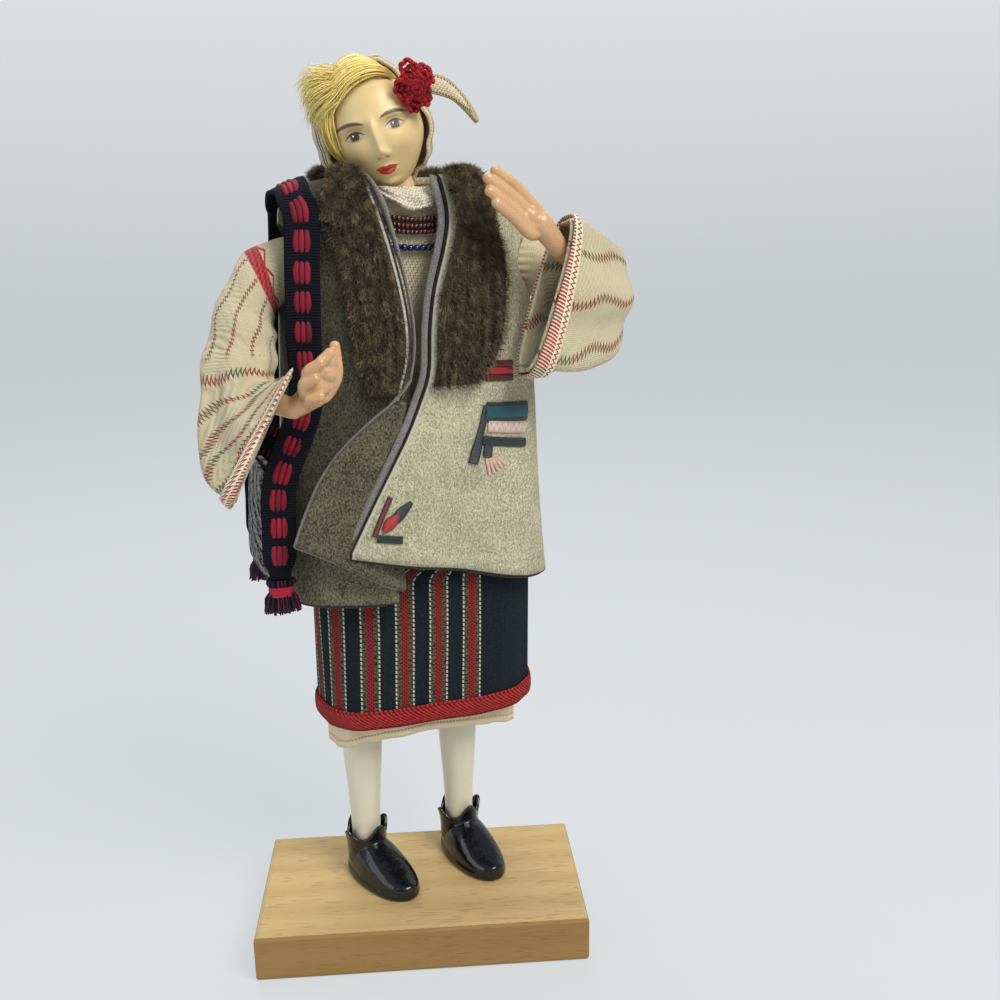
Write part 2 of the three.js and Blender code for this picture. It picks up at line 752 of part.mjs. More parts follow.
function leftHem(x) {
  return mix(LEFT_CORNER_Z, LEFT_SIDE_HEM_Z, soft(x, LEFT_CORNER_X - 12, VEST_HEM_HALF_WIDTH + 6));
}

// How far the left front is lifted where it lies over the turned-back corner
const FLAP_THICKNESS = VEST_THICKNESS - 0.6;
const VEST_LAP = VEST_THICKNESS + FLAP_STAND + FLAP_THICKNESS + FIT + FLAP_CURL * 0.2;

function leftLift(x, z) {
  return VEST_LAP * soft(x, 9, -6) * soft(z, FUR_BOTTOM_Z - 1.5, FUR_BOTTOM_Z - 13);
}

function leftPoint(s, t, outside) {
  const neckQ = 2;
  let turn = 0;
  let q = 0;
  let x = 0;
  for (let round = 0; round < 3; round += 1) {
    const hemQ = vest.qOf(leftHem(x));
    q = mix(hemQ, neckQ, t);
    const { z, a } = vest.section(q, 0);
    const edge = mix(frontTurn(leftEdge(z), a), -FIT / VEST_HEM_HALF_DEPTH, s);
    turn = edge;
    x = oval(turn, a, 1)[0];
  }
  const { z } = vest.section(q, 0);
  return vest.at(q, turn, -outside - leftLift(x, z));
}

function rightPoint(s, t, outside) {
  const q = mix(vest.qOf(RIGHT_HEM_Z), 2, t);
  const { z, a } = vest.section(q, 0);
  const turn = mix(-Math.PI + FIT / VEST_HEM_HALF_DEPTH, frontTurn(rightEdge(z), a), s);
  return vest.at(q, turn, -outside);
}

function leftFrontShape() {
  const panel = sheet(LEFT_COLUMNS, LEFT_LEVELS.length - 1, (s, t, depth) => leftPoint(
    s,
    levelAt(LEFT_LEVELS, t),
    -depth * VEST_THICKNESS,
  ));
  return cut(panel, ...armholes(ARMHOLE_RADIUS));
}

// The lower corner of the right front is turned back: a triangle from the fold to its free corner.
const FLAP_TOP = { x: -7.6, z: 129 };
const FLAP_TIP = { x: -33, z: 99 };
const FLAP_FOOT = { x: -8.8, z: 84.6 };

function flapShape() {
  return sheet(5, 5, (s, t, depth) => {
    const far = mix(0.07, 1, t);
    const foot = { x: mix(FLAP_FOOT.x, FLAP_TIP.x, s), z: mix(FLAP_FOOT.z, FLAP_TIP.z, s) };
    const [x, z] = [mix(FLAP_TOP.x, foot.x, far), mix(FLAP_TOP.z, foot.z, far)];
    const rooted = mix(-0.4, FLAP_STAND, soft(s, 0, 0.15));
    const stand = rooted + (1 - depth) * FLAP_THICKNESS + far * s ** 2 * FLAP_CURL;
    const base = vest.front(Math.max(x, -24), z, stand);
    base.x += Math.min(0, x + 24);
    return base;
  });
}

function foldShape() {
  const rings = [];
  for (let j = 0; j <= 8; j += 1) {
    const z = mix(FLAP_FOOT.z, FLAP_TOP.z - 1, j / 8);
    const centre = vest.front(rightEdge(z), z, -VEST_THICKNESS * 0.3);
    const ring = [];
    for (let i = 0; i < 10; i += 1) {
      const turn = i / 10 * Math.PI * 2;
      ring.push(point(centre.x + 1.2 * Math.cos(turn), centre.y + 1.25 * Math.sin(turn), z));
    }
    rings.push(ring);
  }
  return loft(rings);
}

function rightFrontShape() {
  const panel = sheet(7, RIGHT_ROWS, (s, t, depth) => rightPoint(s, t, -depth * VEST_THICKNESS));
  return cut(joined(panel, foldShape(), flapShape()), ...armholes(ARMHOLE_RADIUS));
}

function vestBackShape() {
  const panel = sheet(14, 6, (s, t, depth) => {
    const turn = mix(FIT / VEST_HEM_HALF_DEPTH, Math.PI - FIT / VEST_HEM_HALF_DEPTH, s);
    return vest.at(mix(0, 2, t), turn, depth * VEST_THICKNESS);
  });
  return cut(panel, ...armholes(ARMHOLE_RADIUS));
}

piece(doll, 'vest_back', vestBackShape(), 0xa39c82, 0.9);
piece(doll, 'vest_front_right', rightFrontShape(), 0xa39c82, 0.9);
piece(doll, 'vest_front_left', leftFrontShape(), 0xa39c82, 0.9);

// Fur trims on both fronts, thickest along the middle, and the fur collar round the back of the neck
const rightFurEdge = smoothLine([
  [FUR_BOTTOM_Z, -12.6],
  [140, -15.4],
  [151, -16.6],
  [161, -17.4],
  [168, -20],
  [VEST_NECK_Z, -17],
]);
const leftFurEdge = smoothLine([
  [FUR_BOTTOM_Z, 11],
  [135, 15],
  [142, 17.8],
  [150, 18.8],
  [160, 18.4],
  [168, 16],
  [VEST_NECK_Z, 12],
]);

function furShape(inner, outer, surface, topQ) {
  return sheet(4, 9, (s, t, depth) => {
    const q = mix(vest.qOf(FUR_BOTTOM_Z), topQ, t);
    const { z, a } = vest.section(q, 0);
    const neckward = soft(q, 1, 2);
    const x = mix(inner(z), outer(z), s);
    const turn = frontTurn(mix(x, Math.sign(x) * Math.min(Math.abs(x), a * 0.96), neckward), a);
    const swell = FUR_THICKNESS * (0.35 + 0.65 * Math.sqrt(Math.sin(Math.PI * mix(0.08, 0.92, s))))
      * mix(0.6, 1, Math.sqrt(Math.sin(Math.PI * mix(0.1, 0.9, t))));
    return surface(q, turn, z, FIT + (1 - depth) * swell);
  });
}

const overRight = (q, turn, z, outside) => vest.at(q, turn, -outside);
const overLeft = (q, turn, z, outside) => {
  const [x] = oval(turn, vest.section(q, 0).a, 1);
  return vest.at(q, turn, -outside - leftLift(x, z));
};
const FUR_SETBACK = 1.6;
const FUR_TOP_Q = 1.78;
const rightFur = furShape((z) => rightEdge(z) - FUR_SETBACK, rightFurEdge, overRight, FUR_TOP_Q);
const leftFur = furShape((z) => leftEdge(z) + FUR_SETBACK, leftFurEdge, overLeft, FUR_TOP_Q);

piece(doll, 'fur_trim_right', rightFur, 0x5f503e, 0.95);
piece(doll, 'fur_trim_left', leftFur, 0x5f503e, 0.95);

function furCollarShape() {
  return sheet(16, 4, (s, t, depth) => {
    const turn = mix(0.12, Math.PI - 0.12, s);
    const swell = COLLAR_SHARE * FUR_THICKNESS * Math.sqrt(Math.sin(Math.PI * mix(0.08, 0.92, t)));
    const low = mix(1.74, 1.3, Math.sin(turn) ** 2);
    return vest.at(mix(low, 1.92, t), turn, -FIT - (1 - depth) * swell);
  });
}

piece(doll, 'fur_collar', furCollarShape(), 0x5f503e, 0.95);

// A round cord or string through points that lie on the figure, with a radius for each point.
const outward = (at) => point(
  at.x / VEST_HEM_HALF_WIDTH ** 2,
  at.y / VEST_HEM_HALF_DEPTH ** 2,
  0,
).normalize();

function tube(points, radius, sides) {
  return loft(points.map((at, i) => {
    const before = points[Math.max(0, i - 1)];
    const after = points[Math.min(points.length - 1, i + 1)];
    const along = after.clone().sub(before).normalize();
    const side = along.clone().cross(outward(at)).normalize();
    const up = side.clone().cross(along);
    return evenly(sides, 0, 2 * Math.PI).slice(1).map((turn) => at.clone()
      .addScaledVector(side, radius(i) * Math.cos(turn))
      .addScaledVector(up, radius(i) * Math.sin(turn)));
  }));
}

// Cords along the edges of the vest
const cordShape = (points) => tube(points, () => CORD_RADIUS, 6);
const CORD_STAND = CORD_RADIUS + EASE;

// Moves a point of an edge out of its panel: along is the edge's direction, and side its free side.
function besideEdge(at, next, side) {
  const along = next.clone().sub(at).normalize();
  return at.clone().addScaledVector(along.cross(outward(at)).normalize(), side * CORD_STAND);
}

function edgeCord(place, stations, side) {
  return stations.map((t) => besideEdge(place(t), place(t + 0.004), side));
}

function leftCordPoints() {
  const middle = -VEST_THICKNESS / 2;
  const rows = [0.97, ...LEFT_LEVELS.slice(1, -1).reverse(), 0.02];
  const columns = [0.03, ...evenly(LEFT_COLUMNS - 2, 1 / LEFT_COLUMNS, 1 - 1 / LEFT_COLUMNS), 0.95];
  const front = edgeCord((t) => leftPoint(0, t, middle), rows, -1);
  const hem = edgeCord((s) => leftPoint(s, 0, middle), columns, 1);
  const tip = leftPoint(0, 0, middle);
  const corner = besideEdge(tip, leftPoint(0, 0.02, middle), -1)
    .add(besideEdge(tip, leftPoint(0.02, 0, middle), 1))
    .sub(tip);
  return [...front, corner, ...hem];
}

function rightCordPoints() {
  const hemQ = vest.qOf(RIGHT_HEM_Z);
  const foot = (vest.qOf(FLAP_TOP.z + 3) - hemQ) / (2 - hemQ);
  const rows = evenly(RIGHT_ROWS, 0, 1).filter((t) => t > foot + 0.02 && t < 0.93).reverse();
  return edgeCord((t) => rightPoint(1, t, -VEST_THICKNESS / 2), [0.95, ...rows, foot], 1);
}

function hemCordPoints() {
  const front = edgeCord((s) => rightPoint(s, 0, -VEST_THICKNESS / 2), evenly(7, 0.93, 0.1), 1);
  const back = edgeCord(
    (s) => vest.at(0, mix(Math.PI, 0, s), VEST_THICKNESS / 2),
    evenly(12, 0.03, 0.94),
    -1,
  );
  return [...front, ...back];
}

piece(doll, 'front_cord_left', cordShape(leftCordPoints()), 0x3a352c, 0.8);
piece(doll, 'front_cord_right', cordShape(rightCordPoints()), 0x3a352c, 0.8);
piece(doll, 'hem_cord', cordShape(hemCordPoints()), 0x3a352c, 0.8);

// Neck scarf: a low band round the neck that spreads down over the front of the bodice
function neckScarfShape() {
  return sheet(24, 3, (s, t, depth) => {
    const turn = s * Math.PI * 2;
    const front = Math.max(0, -Math.sin(turn));
    const at = point(
      NECK_SCARF_HALF_WIDTH * Math.cos(turn),
      NECK_SCARF_HALF_DEPTH * Math.sin(turn),
      BODICE_NECK_Z + mix(FIT, NECK_SCARF_RISE, t),
    );
    const bib = bodice.front(at.x, mix(NECK_SCARF_FRONT_Z, NECK_SCARF_FRONT_TOP_Z, t), EASE + 3 * FIT);
    at.y = mix(at.y, bib.y, front ** 0.75);
    at.z = mix(at.z, bib.z, front ** 2.2);
    const out = point(Math.cos(turn), Math.sin(turn), 0.4 * front);
    return at.addScaledVector(out, (1 - depth) * NECK_SCARF_THICKNESS);
  }, true);
}

piece(doll, 'neck_scarf', neckScarfShape(), 0xe6dcc2, 0.85);

// A string of beads hangs across the front of the bodice, with its ends sewn on under the vest.
function beadString(frontZ, beadRadius, beads) {
  const path = new THREE.CatmullRomCurve3(evenly(12, -STRING_HALF_WIDTH, STRING_HALF_WIDTH).map((x) => {
    const z = frontZ + STRING_RISE * (x / STRING_HALF_WIDTH) ** 2;
    return bodice.front(x, z, beadRadius + FIT);
  }));
  const points = path.getSpacedPoints(2 * beads);
  return tube(points, (i) => (i % 2 === 0 ? BEAD_THREAD_RADIUS : beadRadius), 5);
}

const redBeads = (row) => beadString(RED_BEADS_Z - row * BEAD_SPACING, RED_BEAD_RADIUS, RED_BEADS);

piece(doll, 'red_beads_top', redBeads(0), 0x7c1420, 0.25);
piece(doll, 'red_beads_middle', redBeads(1), 0x7c1420, 0.25);
piece(doll, 'red_beads_lower', redBeads(2), 0x7c1420, 0.25);
piece(doll, 'blue_beads', beadString(BLUE_BEADS_Z, BLUE_BEAD_RADIUS, BLUE_BEADS), 0x1c3fa8, 0.2);

// Head group: it turns on the neck post
const head = new THREE.Group();
head.position.set(NECK_X, NECK_Y, NECK_Z);
head.rotation.set(HEAD_NOD * degrees, HEAD_LEAN * degrees, HEAD_TURN * degrees, 'ZYX');
doll.add(head);

// The head's skin in one direction: an egg, narrower at the jaw, with brow, nose, lips and chin
function headSkin(direction, stand = 0) {
  const { x, y, z } = direction;
  const jaw = soft(-z, 0.1, 1);
  const width = HEAD_HALF_WIDTH * (1 - 0.2 * jaw) + stand;
  const depth = HEAD_HALF_DEPTH * (1 - 0.12 * jaw) + stand;
  return point(width * x, depth * y, HEAD_RISE + (HEAD_HALF_HEIGHT + stand) * z);
}

function headShape() {
  const rings = [];
  const [levels, sides] = [15, 24];
  const bump = (v, centre, width) => Math.exp(-(((v - centre) / width) ** 2));
  for (let j = 1; j < levels; j += 1) {
    const lat = -Math.PI / 2 + j / levels * Math.PI;
    const ring = [];
    for (let i = 0; i < sides; i += 1) {
      const lon = i / sides * Math.PI * 2;
      const p = headSkin(point(Math.cos(lat) * Math.sin(lon), -Math.cos(lat) * Math.cos(lon), Math.sin(lat)));
      const z = p.z - HEAD_RISE;
      if (p.y < 0) {
        p.y -= 1.9 * bump(p.x, 0, 1.5) * bump(z, -1.4, 1.5);
        p.y -= 0.9 * bump(p.x, 0, 1.2) * bump(z, 1.2, 2.2);
        p.y += 0.9 * (bump(p.x, -3.7, 2) + bump(p.x, 3.7, 2)) * bump(z, 1.4, 1.5);
        p.y -= 0.6 * bump(p.x, 0, 2.4) * bump(z, -5.2, 1.1);
        p.y -= 0.7 * bump(p.x, 0, 2.6) * bump(z, -9.2, 1.8);
      }
      ring.push(p);
    }
    rings.push(ring);
  }
  const radius = NECK_RADIUS + FIT;
  const bore = rod(point(0, 0, -8), point(0, 0, NECK_POST_RISE + FIT), radius, radius, 14);
  return cut(loft(rings), bore);
}

piece(head, 'head', headShape(), 0xd8a678, 0.45);

// A cap of cloth or hair that follows the head from a middle direction out to its own edge
function headCap(middle, reach, stand, thickness, rings, sides) {
  const up = middle.clone().normalize();
  const right = point(1, 0, 0);
  const ahead = right.clone().cross(up).normalize();
  const points = [];
  const triangles = [];
  const place = (share, turn, depth) => {
    const angle = share * reach(turn);
    const direction = up.clone().multiplyScalar(Math.cos(angle))
      .addScaledVector(right, Math.sin(angle) * Math.cos(turn))
      .addScaledVector(ahead, Math.sin(angle) * Math.sin(turn));
    return headSkin(direction, stand(share, turn) + (1 - depth) * thickness(share, turn));
  };
  for (const depth of [0, 1]) {
    points.push(place(0, 0, depth));
    for (let j = 1; j <= rings; j += 1) {
      for (let i = 0; i < sides; i += 1) points.push(place(j / rings, i / sides * Math.PI * 2, depth));
    }
  }
  const half = 1 + rings * sides;
  const index = (i, j, face) => face * half + 1 + (j - 1) * sides + (i % sides);
  for (let i = 0; i < sides; i += 1) {
    triangles.push(0, index(i, 1, 0), index(i + 1, 1, 0), half, index(i + 1, 1, 1), index(i, 1, 1));
    for (let j = 1; j < rings; j += 1) {
      const [a, b, c, d] = [index(i, j, 0), index(i + 1, j, 0), index(i + 1, j + 1, 0), index(i, j + 1, 0)];
      triangles.push(a, d, c, a, c, b);
      const [e, f, g, h] = [a + half, b + half, c + half, d + half];
      triangles.push(e, g, h, e, f, g);
    }
    const [a, b] = [index(i, rings, 0), index(i + 1, rings, 0)];
    triangles.push(a, a + half, b + half, a, b + half, b);
  }
  return closedSkin(points, triangles);
}

// Around the edge of a cap, turn 0 is the doll's left, 90 degrees is ahead of its middle direction.
const aroundEdge = (values) => (turn) => {
  const place = ((turn / (Math.PI * 2) + 1) % 1) * values.length;
  const [low, share] = [Math.floor(place) % values.length, place - Math.floor(place)];
  return mix(values[low], values[(low + 1) % values.length], (1 - Math.cos(share * Math.PI)) / 2) * degrees;
};

const SCARF_MIDDLE = point(0, 0.94, 0.34);
const SCARF_REACH = [106, 98, 92, 98, 104, 60, 36, 68];
const scarfStand = (share) => FIT + SCARF_STAND * share ** 2;

function headscarfShape() {
  return headCap(SCARF_MIDDLE, aroundEdge(SCARF_REACH), scarfStand, () => SCARF_THICKNESS, 4, 22);
}

// The hair is brushed up to the right and ends at the edge of the scarf.
function hairShape() {
  const hair = headCap(
    point(0, -0.6, 0.8),
    aroundEdge([50, 30, 14, 32, 64, 34, 20, 30]),
    () => FIT,
    (share, turn) => mix(HAIR_THICKNESS * (1 + 0.15 * Math.sin(7 * turn)), 0.5, share ** 2)
      + HAIR_TUFT * 4 * share * (1 - share) * Math.exp(-(((turn - Math.PI) / 0.8) ** 2)),
    4,
    20,
  );
  const room = headCap(
    SCARF_MIDDLE,
    aroundEdge(SCARF_REACH.map((reach) => reach + 1.5)),
    () => -2,
    (share) => scarfStand(share) + SCARF_THICKNESS + HAIR_TUFT,
    4,
    22,
  );
  return cut(hair, room);
}

piece(head, 'hair', hairShape(), 0xc9a560, 0.7);
piece(head, 'headscarf', headscarfShape(), 0xe9dfc6, 0.85);

// The stitched point of the scarf, a flat wing at the left side of the head
function scarfTailShape() {
  const stand = FIT + SCARF_STAND + SCARF_THICKNESS + FIT;
  const edge = HEAD_HALF_WIDTH + stand;
  const root = [point(edge - 0.5, -2, HEAD_RISE - 1), point(edge - 1, -2, HEAD_RISE - 1 + TAIL_WIDTH)];
  const tip = point(edge + TAIL_LENGTH, -1.6, HEAD_RISE - TAIL_DROP);
  return sheet(4, 4, (s, t, depth) => root[0].clone().lerp(root[1], s).lerp(tip, t * 0.95)
    .add(point(0, (0.5 - depth) * 1 + 0.4 * Math.sin(Math.PI * s), 0)));
}

piece(head, 'scarf_tail', scarfTailShape(), 0xe9dfc6, 0.85);

// Flower: a coiled thread rose
function flowerShape() {
  const profile = [new THREE.Vector2(0, 0)];
  const steps = FLOWER_TURNS * 2;
  for (let k = 0; k <= steps; k += 1) {
    const r = FLOWER_RADIUS * (1 - k / steps);
    const ripple = k % 2 === 0 ? 0.2 : 0.75;
    const crown = FLOWER_CROWN * (1 - r / FLOWER_RADIUS);
    profile.push(new THREE.Vector2(Math.max(0, r), FLOWER_EDGE + ripple + crown));
  }
  profile.splice(1, 0, new THREE.Vector2(FLOWER_RADIUS, 0));
  const rose = new THREE.LatheGeometry(profile, 16);
  rose.scale(0.86, 1, 1.16);
  return rose;
}

const flower = piece(head, 'flower', flowerShape(), 0x8e1f2b, 0.8);
flower.rotation.set(0.15, 0, -0.3);
flower.position.set(8.6, -11.6, 22);

// Arms: upper arm, forearm and hand, with the pin that turns in the body
const arms = {
  right: {
    side: -1,
    stations: [
      { at: point(-shoulderX - FIT - SHOULDER_RADIUS, 0, ARMHOLE_Z), r: SHOULDER_RADIUS },
      { at: point(-33.5, -1.5, 152.5), r: UPPER_ARM_RADIUS },
      { at: point(-41.3, -13.5, 132.5), r: ELBOW_RADIUS },
      { at: point(-31.6, -22.2, 129.4), r: WRIST_RADIUS },
    ],
  },
  left: {
    side: 1,
    stations: [
      { at: point(shoulderX + FIT + SHOULDER_RADIUS, 0, ARMHOLE_Z), r: SHOULDER_RADIUS },
      { at: point(34, -1.5, 155), r: UPPER_ARM_RADIUS },
      { at: point(42.8, -5.4, 152.5), r: ELBOW_RADIUS },
      { at: point(45.4, -12.6, 150.6), r: ELBOW_RADIUS },
      { at: point(29, -21.7, 160.5), r: WRIST_RADIUS },
    ],
  },
};

function hand(wrist, palm, fingers) {
  const parts = [rod(wrist, palm, WRIST_RADIUS, PALM_RADIUS, 8)];
  for (const finger of fingers) {
    for (let i = 0; i + 1 < finger.length; i += 1) {
      const radius = FINGER_RADIUS - FINGER_TAPER * i;
      parts.push(rod(finger[i], finger[i + 1], radius, radius - FINGER_TAPER, 6));
    }
  }
  return parts;
}

// The right hand pinches, as round a thread; the left hand is held flat with its fingers together.
const rightHand = hand(
  arms.right.stations[3].at,
  point(-27.4, -24.2, 132.4),
  [
    [point(-25.6, -24, 132), point(-22.6, -26.2, 136.2), point(-23.2, -27.2, 142.8)],
    [point(-27, -25, 134), point(-27.4, -28.2, 138.4), point(-24.6, -28.4, 141.4)],
    [point(-28.4, -25, 133.6), point(-29.2, -28, 137.6), point(-26.8, -29.4, 139.6)],
    [point(-29, -24.6, 132), point(-30, -27.4, 135.2), point(-28, -29, 136.4)],
    [point(-28.6, -24, 130.4), point(-29, -26.8, 132), point(-27, -28, 132.6)],
  ],
);
const leftPalm = point(24.2, -22.2, 166);
const leftHand = hand(
  arms.left.stations[4].at,
  leftPalm,
  [
    [point(24, -22, 168), point(18.6, -22.6, 173.6), point(13.6, -23, 177)],
    [point(22.8, -22.4, 166.8), point(17, -23.2, 171.8), point(11.6, -23.8, 175.4)],
    [point(22, -22.8, 165.2), point(16.4, -23.8, 169.8), point(11.8, -24.2, 172.8)],
    [point(22, -22.8, 163.6), point(17.4, -24, 167), point(14, -24.4, 169.4)],
    [point(25, -22, 168.6), point(24.4, -21.4, 172.6)],
  ],
);

function armShape(arm, handParts) {
  const pin = cylinder(ARM_PIN_RADIUS, ARM_PIN_LENGTH + SHOULDER_RADIUS + FIT, 12).rotateY(Math.PI / 2);
  const middle = shoulderX + FIT + SHOULDER_RADIUS - (ARM_PIN_LENGTH + SHOULDER_RADIUS + FIT) / 2;
  pin.translate(arm.side * middle, 0, ARMHOLE_Z);
  return joined(pin, chain(arm.stations), ...handParts);
}

piece(doll, 'arm_right', armShape(arms.right, rightHand), 0xe1aa82, 0.3);
piece(doll, 'arm_left', armShape(arms.left, leftHand), 0xe1aa82, 0.3);

// Sleeves: wide linen tubes through ovals from the armhole to the cuff, hollow round the arm.
// Each oval has its middle, its tall half-axis and its short half-axis.
const ovalAt = (middle, tall, short) => ({
  middle: point(...middle),
  tall: point(...tall),
  short: point(...short),
});
const SLEEVE_START_X = 24.6;
const SLEEVE_RADIUS = ARMHOLE_RADIUS - 2;
const SLEEVE_ROWS = 8;

const rightSleeve = [
  ovalAt([-SLEEVE_START_X, 0, ARMHOLE_Z], [0, 0, SLEEVE_RADIUS - 0.4], [0, SLEEVE_RADIUS - 1.4, 0]),
  ovalAt([-30, -0.3, 156], [-0.8, 0, SLEEVE_RADIUS - 0.6], [0, SLEEVE_RADIUS - 1.2, 0]),
  ovalAt([-34.6, -1.6, 152.5], [-3.4, 0, 6.6], [0.2, 6.8, 0.6]),
  ovalAt([-38.8, -7, 143.2], [-7, 0.4, 1.8], [0, 6.8, -2]),
  ovalAt([-41.6, -14, 132.8], [-7.6, 0.2, -1.8], [0.6, 6.2, -2]),
  ovalAt([-41.7, -18.6, 126.4], [-8.7, -0.6, -9.2], [1.2, 5.8, -1]),
  ovalAt([-38.4, -21.6, 123.4], [-7.4, -0.4, -14.2], [1.6, 6.2, -0.6]),
];
const leftSleeve = [
  ovalAt([SLEEVE_START_X, 0, ARMHOLE_Z], [0, 0, SLEEVE_RADIUS - 0.4], [0, SLEEVE_RADIUS - 0.6, 0]),
  ovalAt([30, -0.4, 156.6], [0.6, 0, SLEEVE_RADIUS - 0.2], [0.6, SLEEVE_RADIUS - 0.6, 0]),
  ovalAt([38, -2.2, 154.4], [1, 0, 8.6], [1.6, 6.2, 0]),
  ovalAt([45, -8, 150.8], [1, 0, 10.4], [5.4, 1.6, 0]),
  ovalAt([43.6, -15.4, 149.4], [-0.4, 0, 12.6], [4.2, -5, 0]),
  ovalAt([35.4, -19.4, 149.4], [1, 0, 16.8], [1.1, -6.5, 0]),
  ovalAt([25.4, -21.6, 150.2], [5.6, 0, 17.6], [0.4, -5.8, 0]),
];

function sleeveSkin(ovals) {
  const run = (key) => new THREE.CatmullRomCurve3(ovals.map((o) => o[key]), false, 'catmullrom');
  const [middle, tall, short] = [run('middle'), run('tall'), run('short')];
  return (t, turn, stand) => {
    const [m, a, b] = [middle.getPoint(t), tall.getPoint(t), short.getPoint(t)];
    const fold = 1 + 0.06 * t * Math.sin(4 * turn + 5 * t);
    const grown = (axis) => axis.clone().normalize().multiplyScalar(axis.length() * fold + stand);
    return m.addScaledVector(grown(a), Math.cos(turn)).addScaledVector(grown(b), Math.sin(turn));
  };
}

function sleeveShape(ovals) {
  const skin = sleeveSkin(ovals);
  return sheet(16, SLEEVE_ROWS, (s, t, depth) => skin(t, s * Math.PI * 2, -depth * SLEEVE_WALL), true);
}

function cuffShape(ovals) {
  const skin = sleeveSkin(ovals);
  return sheet(16, 1, (s, t, depth) => {
    const [turn, stand] = [s * Math.PI * 2, EASE + (1 - depth) * CUFF_THICKNESS];
    return skin(1 - 1 / SLEEVE_ROWS, turn, stand).lerp(skin(1, turn, stand), mix(1 - CUFF_SHARE, 0.98, t));
  }, true);
}

piece(doll, 'sleeve_right', sleeveShape(rightSleeve), 0xe6dcc2, 0.85);
piece(doll, 'sleeve_left', sleeveShape(leftSleeve), 0xe6dcc2, 0.85);
piece(doll, 'cuff_right', cuffShape(rightSleeve), 0xa8322c, 0.85);
piece(doll, 'cuff_left', cuffShape(leftSleeve), 0xa8322c, 0.85);

// Shoulder bag on the doll's right hip: a soft flat pouch, its strap and two tassels
const BAG_X = -(VEST_HEM_HALF_WIDTH + EASE + BAG_THICKNESS / 2 + 0.6);

function bagShape() {
  const rings = [];
  for (let j = 0; j <= 6; j += 1) {
    const t = j / 6;
    const z = mix(BAG_BOTTOM_Z, BAG_TOP_Z, t);
    const plump = 0.55 + 0.45 * Math.sin(Math.PI * mix(0.08, 0.8, t));
    const ring = [];
    for (let i = 0; i < 16; i += 1) {
      const [halfThickness, halfWidth] = [BAG_THICKNESS / 2 * plump, BAG_WIDTH / 2 * (0.94 + 0.06 * plump)];
      const [x, y] = oval(i / 16 * Math.PI * 2, halfThickness, halfWidth);
      ring.push(point(BAG_X + x + (1 - t) * -0.8 + t * 1.2, y, z));
    }
    rings.push(ring);
  }
  return loft(rings);
}

piece(doll, 'bag', bagShape(), 0x8c887c, 0.9);

// The strap follows the bag's front edge, the front of the shoulder, its top, and the same behind.
const STRAP_X = BAG_X + 2;
const STRAP_STAND = FIT + STRAP_THICKNESS / 2 + 0.3;
const STRAP_CORNER = 1;

function onVest(q, turn, side, out) {
  const normal = point(...out).normalize();
  const stand = STRAP_STAND + STRAP_CORNER * Math.abs(normal.y);
  return { at: vest.at(q, side * (Math.PI - turn)).addScaledVector(normal, stand), out: normal };
}

function strapRun(side) {
  const bagEdge = side * (BAG_WIDTH / 2 + FIT + STRAP_THICKNESS / 2 + 0.2);
  return [
    { at: point(STRAP_X - 0.4, bagEdge, BAG_BOTTOM_Z + 1), out: point(-0.15, side, 0) },
    { at: point(STRAP_X, bagEdge, mix(BAG_BOTTOM_Z, BAG_TOP_Z, 0.5)), out: point(-0.15, side, 0) },
    { at: point(STRAP_X + 1, bagEdge, BAG_TOP_Z - 1), out: point(-0.2, side, 0) },
    ...[0.55, 0.72, 0.86, 1].map((q) => onVest(q, 0.6, side, [-0.35, side * 0.94, 0])),
    onVest(1.18, 0.5, side, [-0.45, side * 0.7, 0.5]),
    onVest(1.34, 0.26, side, [-0.4, side * 0.3, 0.85]),
  ];
}

function strapShape() {
  const stations = [...strapRun(-1), onVest(1.38, 0, 1, [-0.4, 0, 0.9]), ...strapRun(1).reverse()];
  const middle = new THREE.CatmullRomCurve3(stations.map((s) => s.at), false, 'centripetal');
  const out = new THREE.CatmullRomCurve3(stations.map((s) => s.out), false, 'catmullrom');
  return sheet(2, 30, (s, t, depth) => {
    const along = middle.getTangent(t);
    const outward = out.getPoint(t).normalize();
    const width = outward.clone().cross(along).normalize();
    return middle.getPoint(t)
      .addScaledVector(width, (s - 0.5) * STRAP_WIDTH)
      .addScaledVector(outward, (0.5 - depth) * STRAP_THICKNESS);
  });
}

piece(doll, 'bag_strap', strapShape(), 0x1e2036, 0.85);

function tasselShape(side) {
  const rings = [];
  const profile = [[0, 3.2], [0.18, 3.4], [0.3, 2.4], [0.6, 3.1], [1, 3.5]];
  for (const [t, half] of profile) {
    const ring = [];
    for (let i = 0; i < 16; i += 1) {
      const turn = i / 16 * Math.PI * 2;
      const strand = i % 2 === 0 ? 1 : mix(1, 0.84, t);
      ring.push(point(
        STRAP_X - 0.4 + half * strand * Math.cos(turn),
        side * (BAG_WIDTH / 2 + FIT + STRAP_THICKNESS / 2 + 0.2) + 0.5 * half * strand * Math.sin(turn),
        BAG_BOTTOM_Z + 1 - FIT - t * TASSEL_LENGTH,
      ));
    }
    rings.push(ring);
  }
  return loft(rings);
}

piece(doll, 'tassel_front', tasselShape(-1), 0x2a1c30, 0.85);
piece(doll, 'tassel_back', tasselShape(1), 0x2a1c30, 0.85);

export default model;
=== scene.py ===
# %% [markdown]
# A folk doll in winter dress, on a wooden base. The doll is about 200 mm tall. It wears a linen shift
# with embroidered sleeves, a striped wrap skirt, a suede vest with fur trims, a headscarf with a
# crocheted flower, beads, and a woven shoulder bag. The solids of the doll are loaded first, and every
# visible piece is then made again, finer, in the same place.

# %% Load the frame
import math

import bpy
import numpy as np
from mathutils import Euler, Matrix, Vector


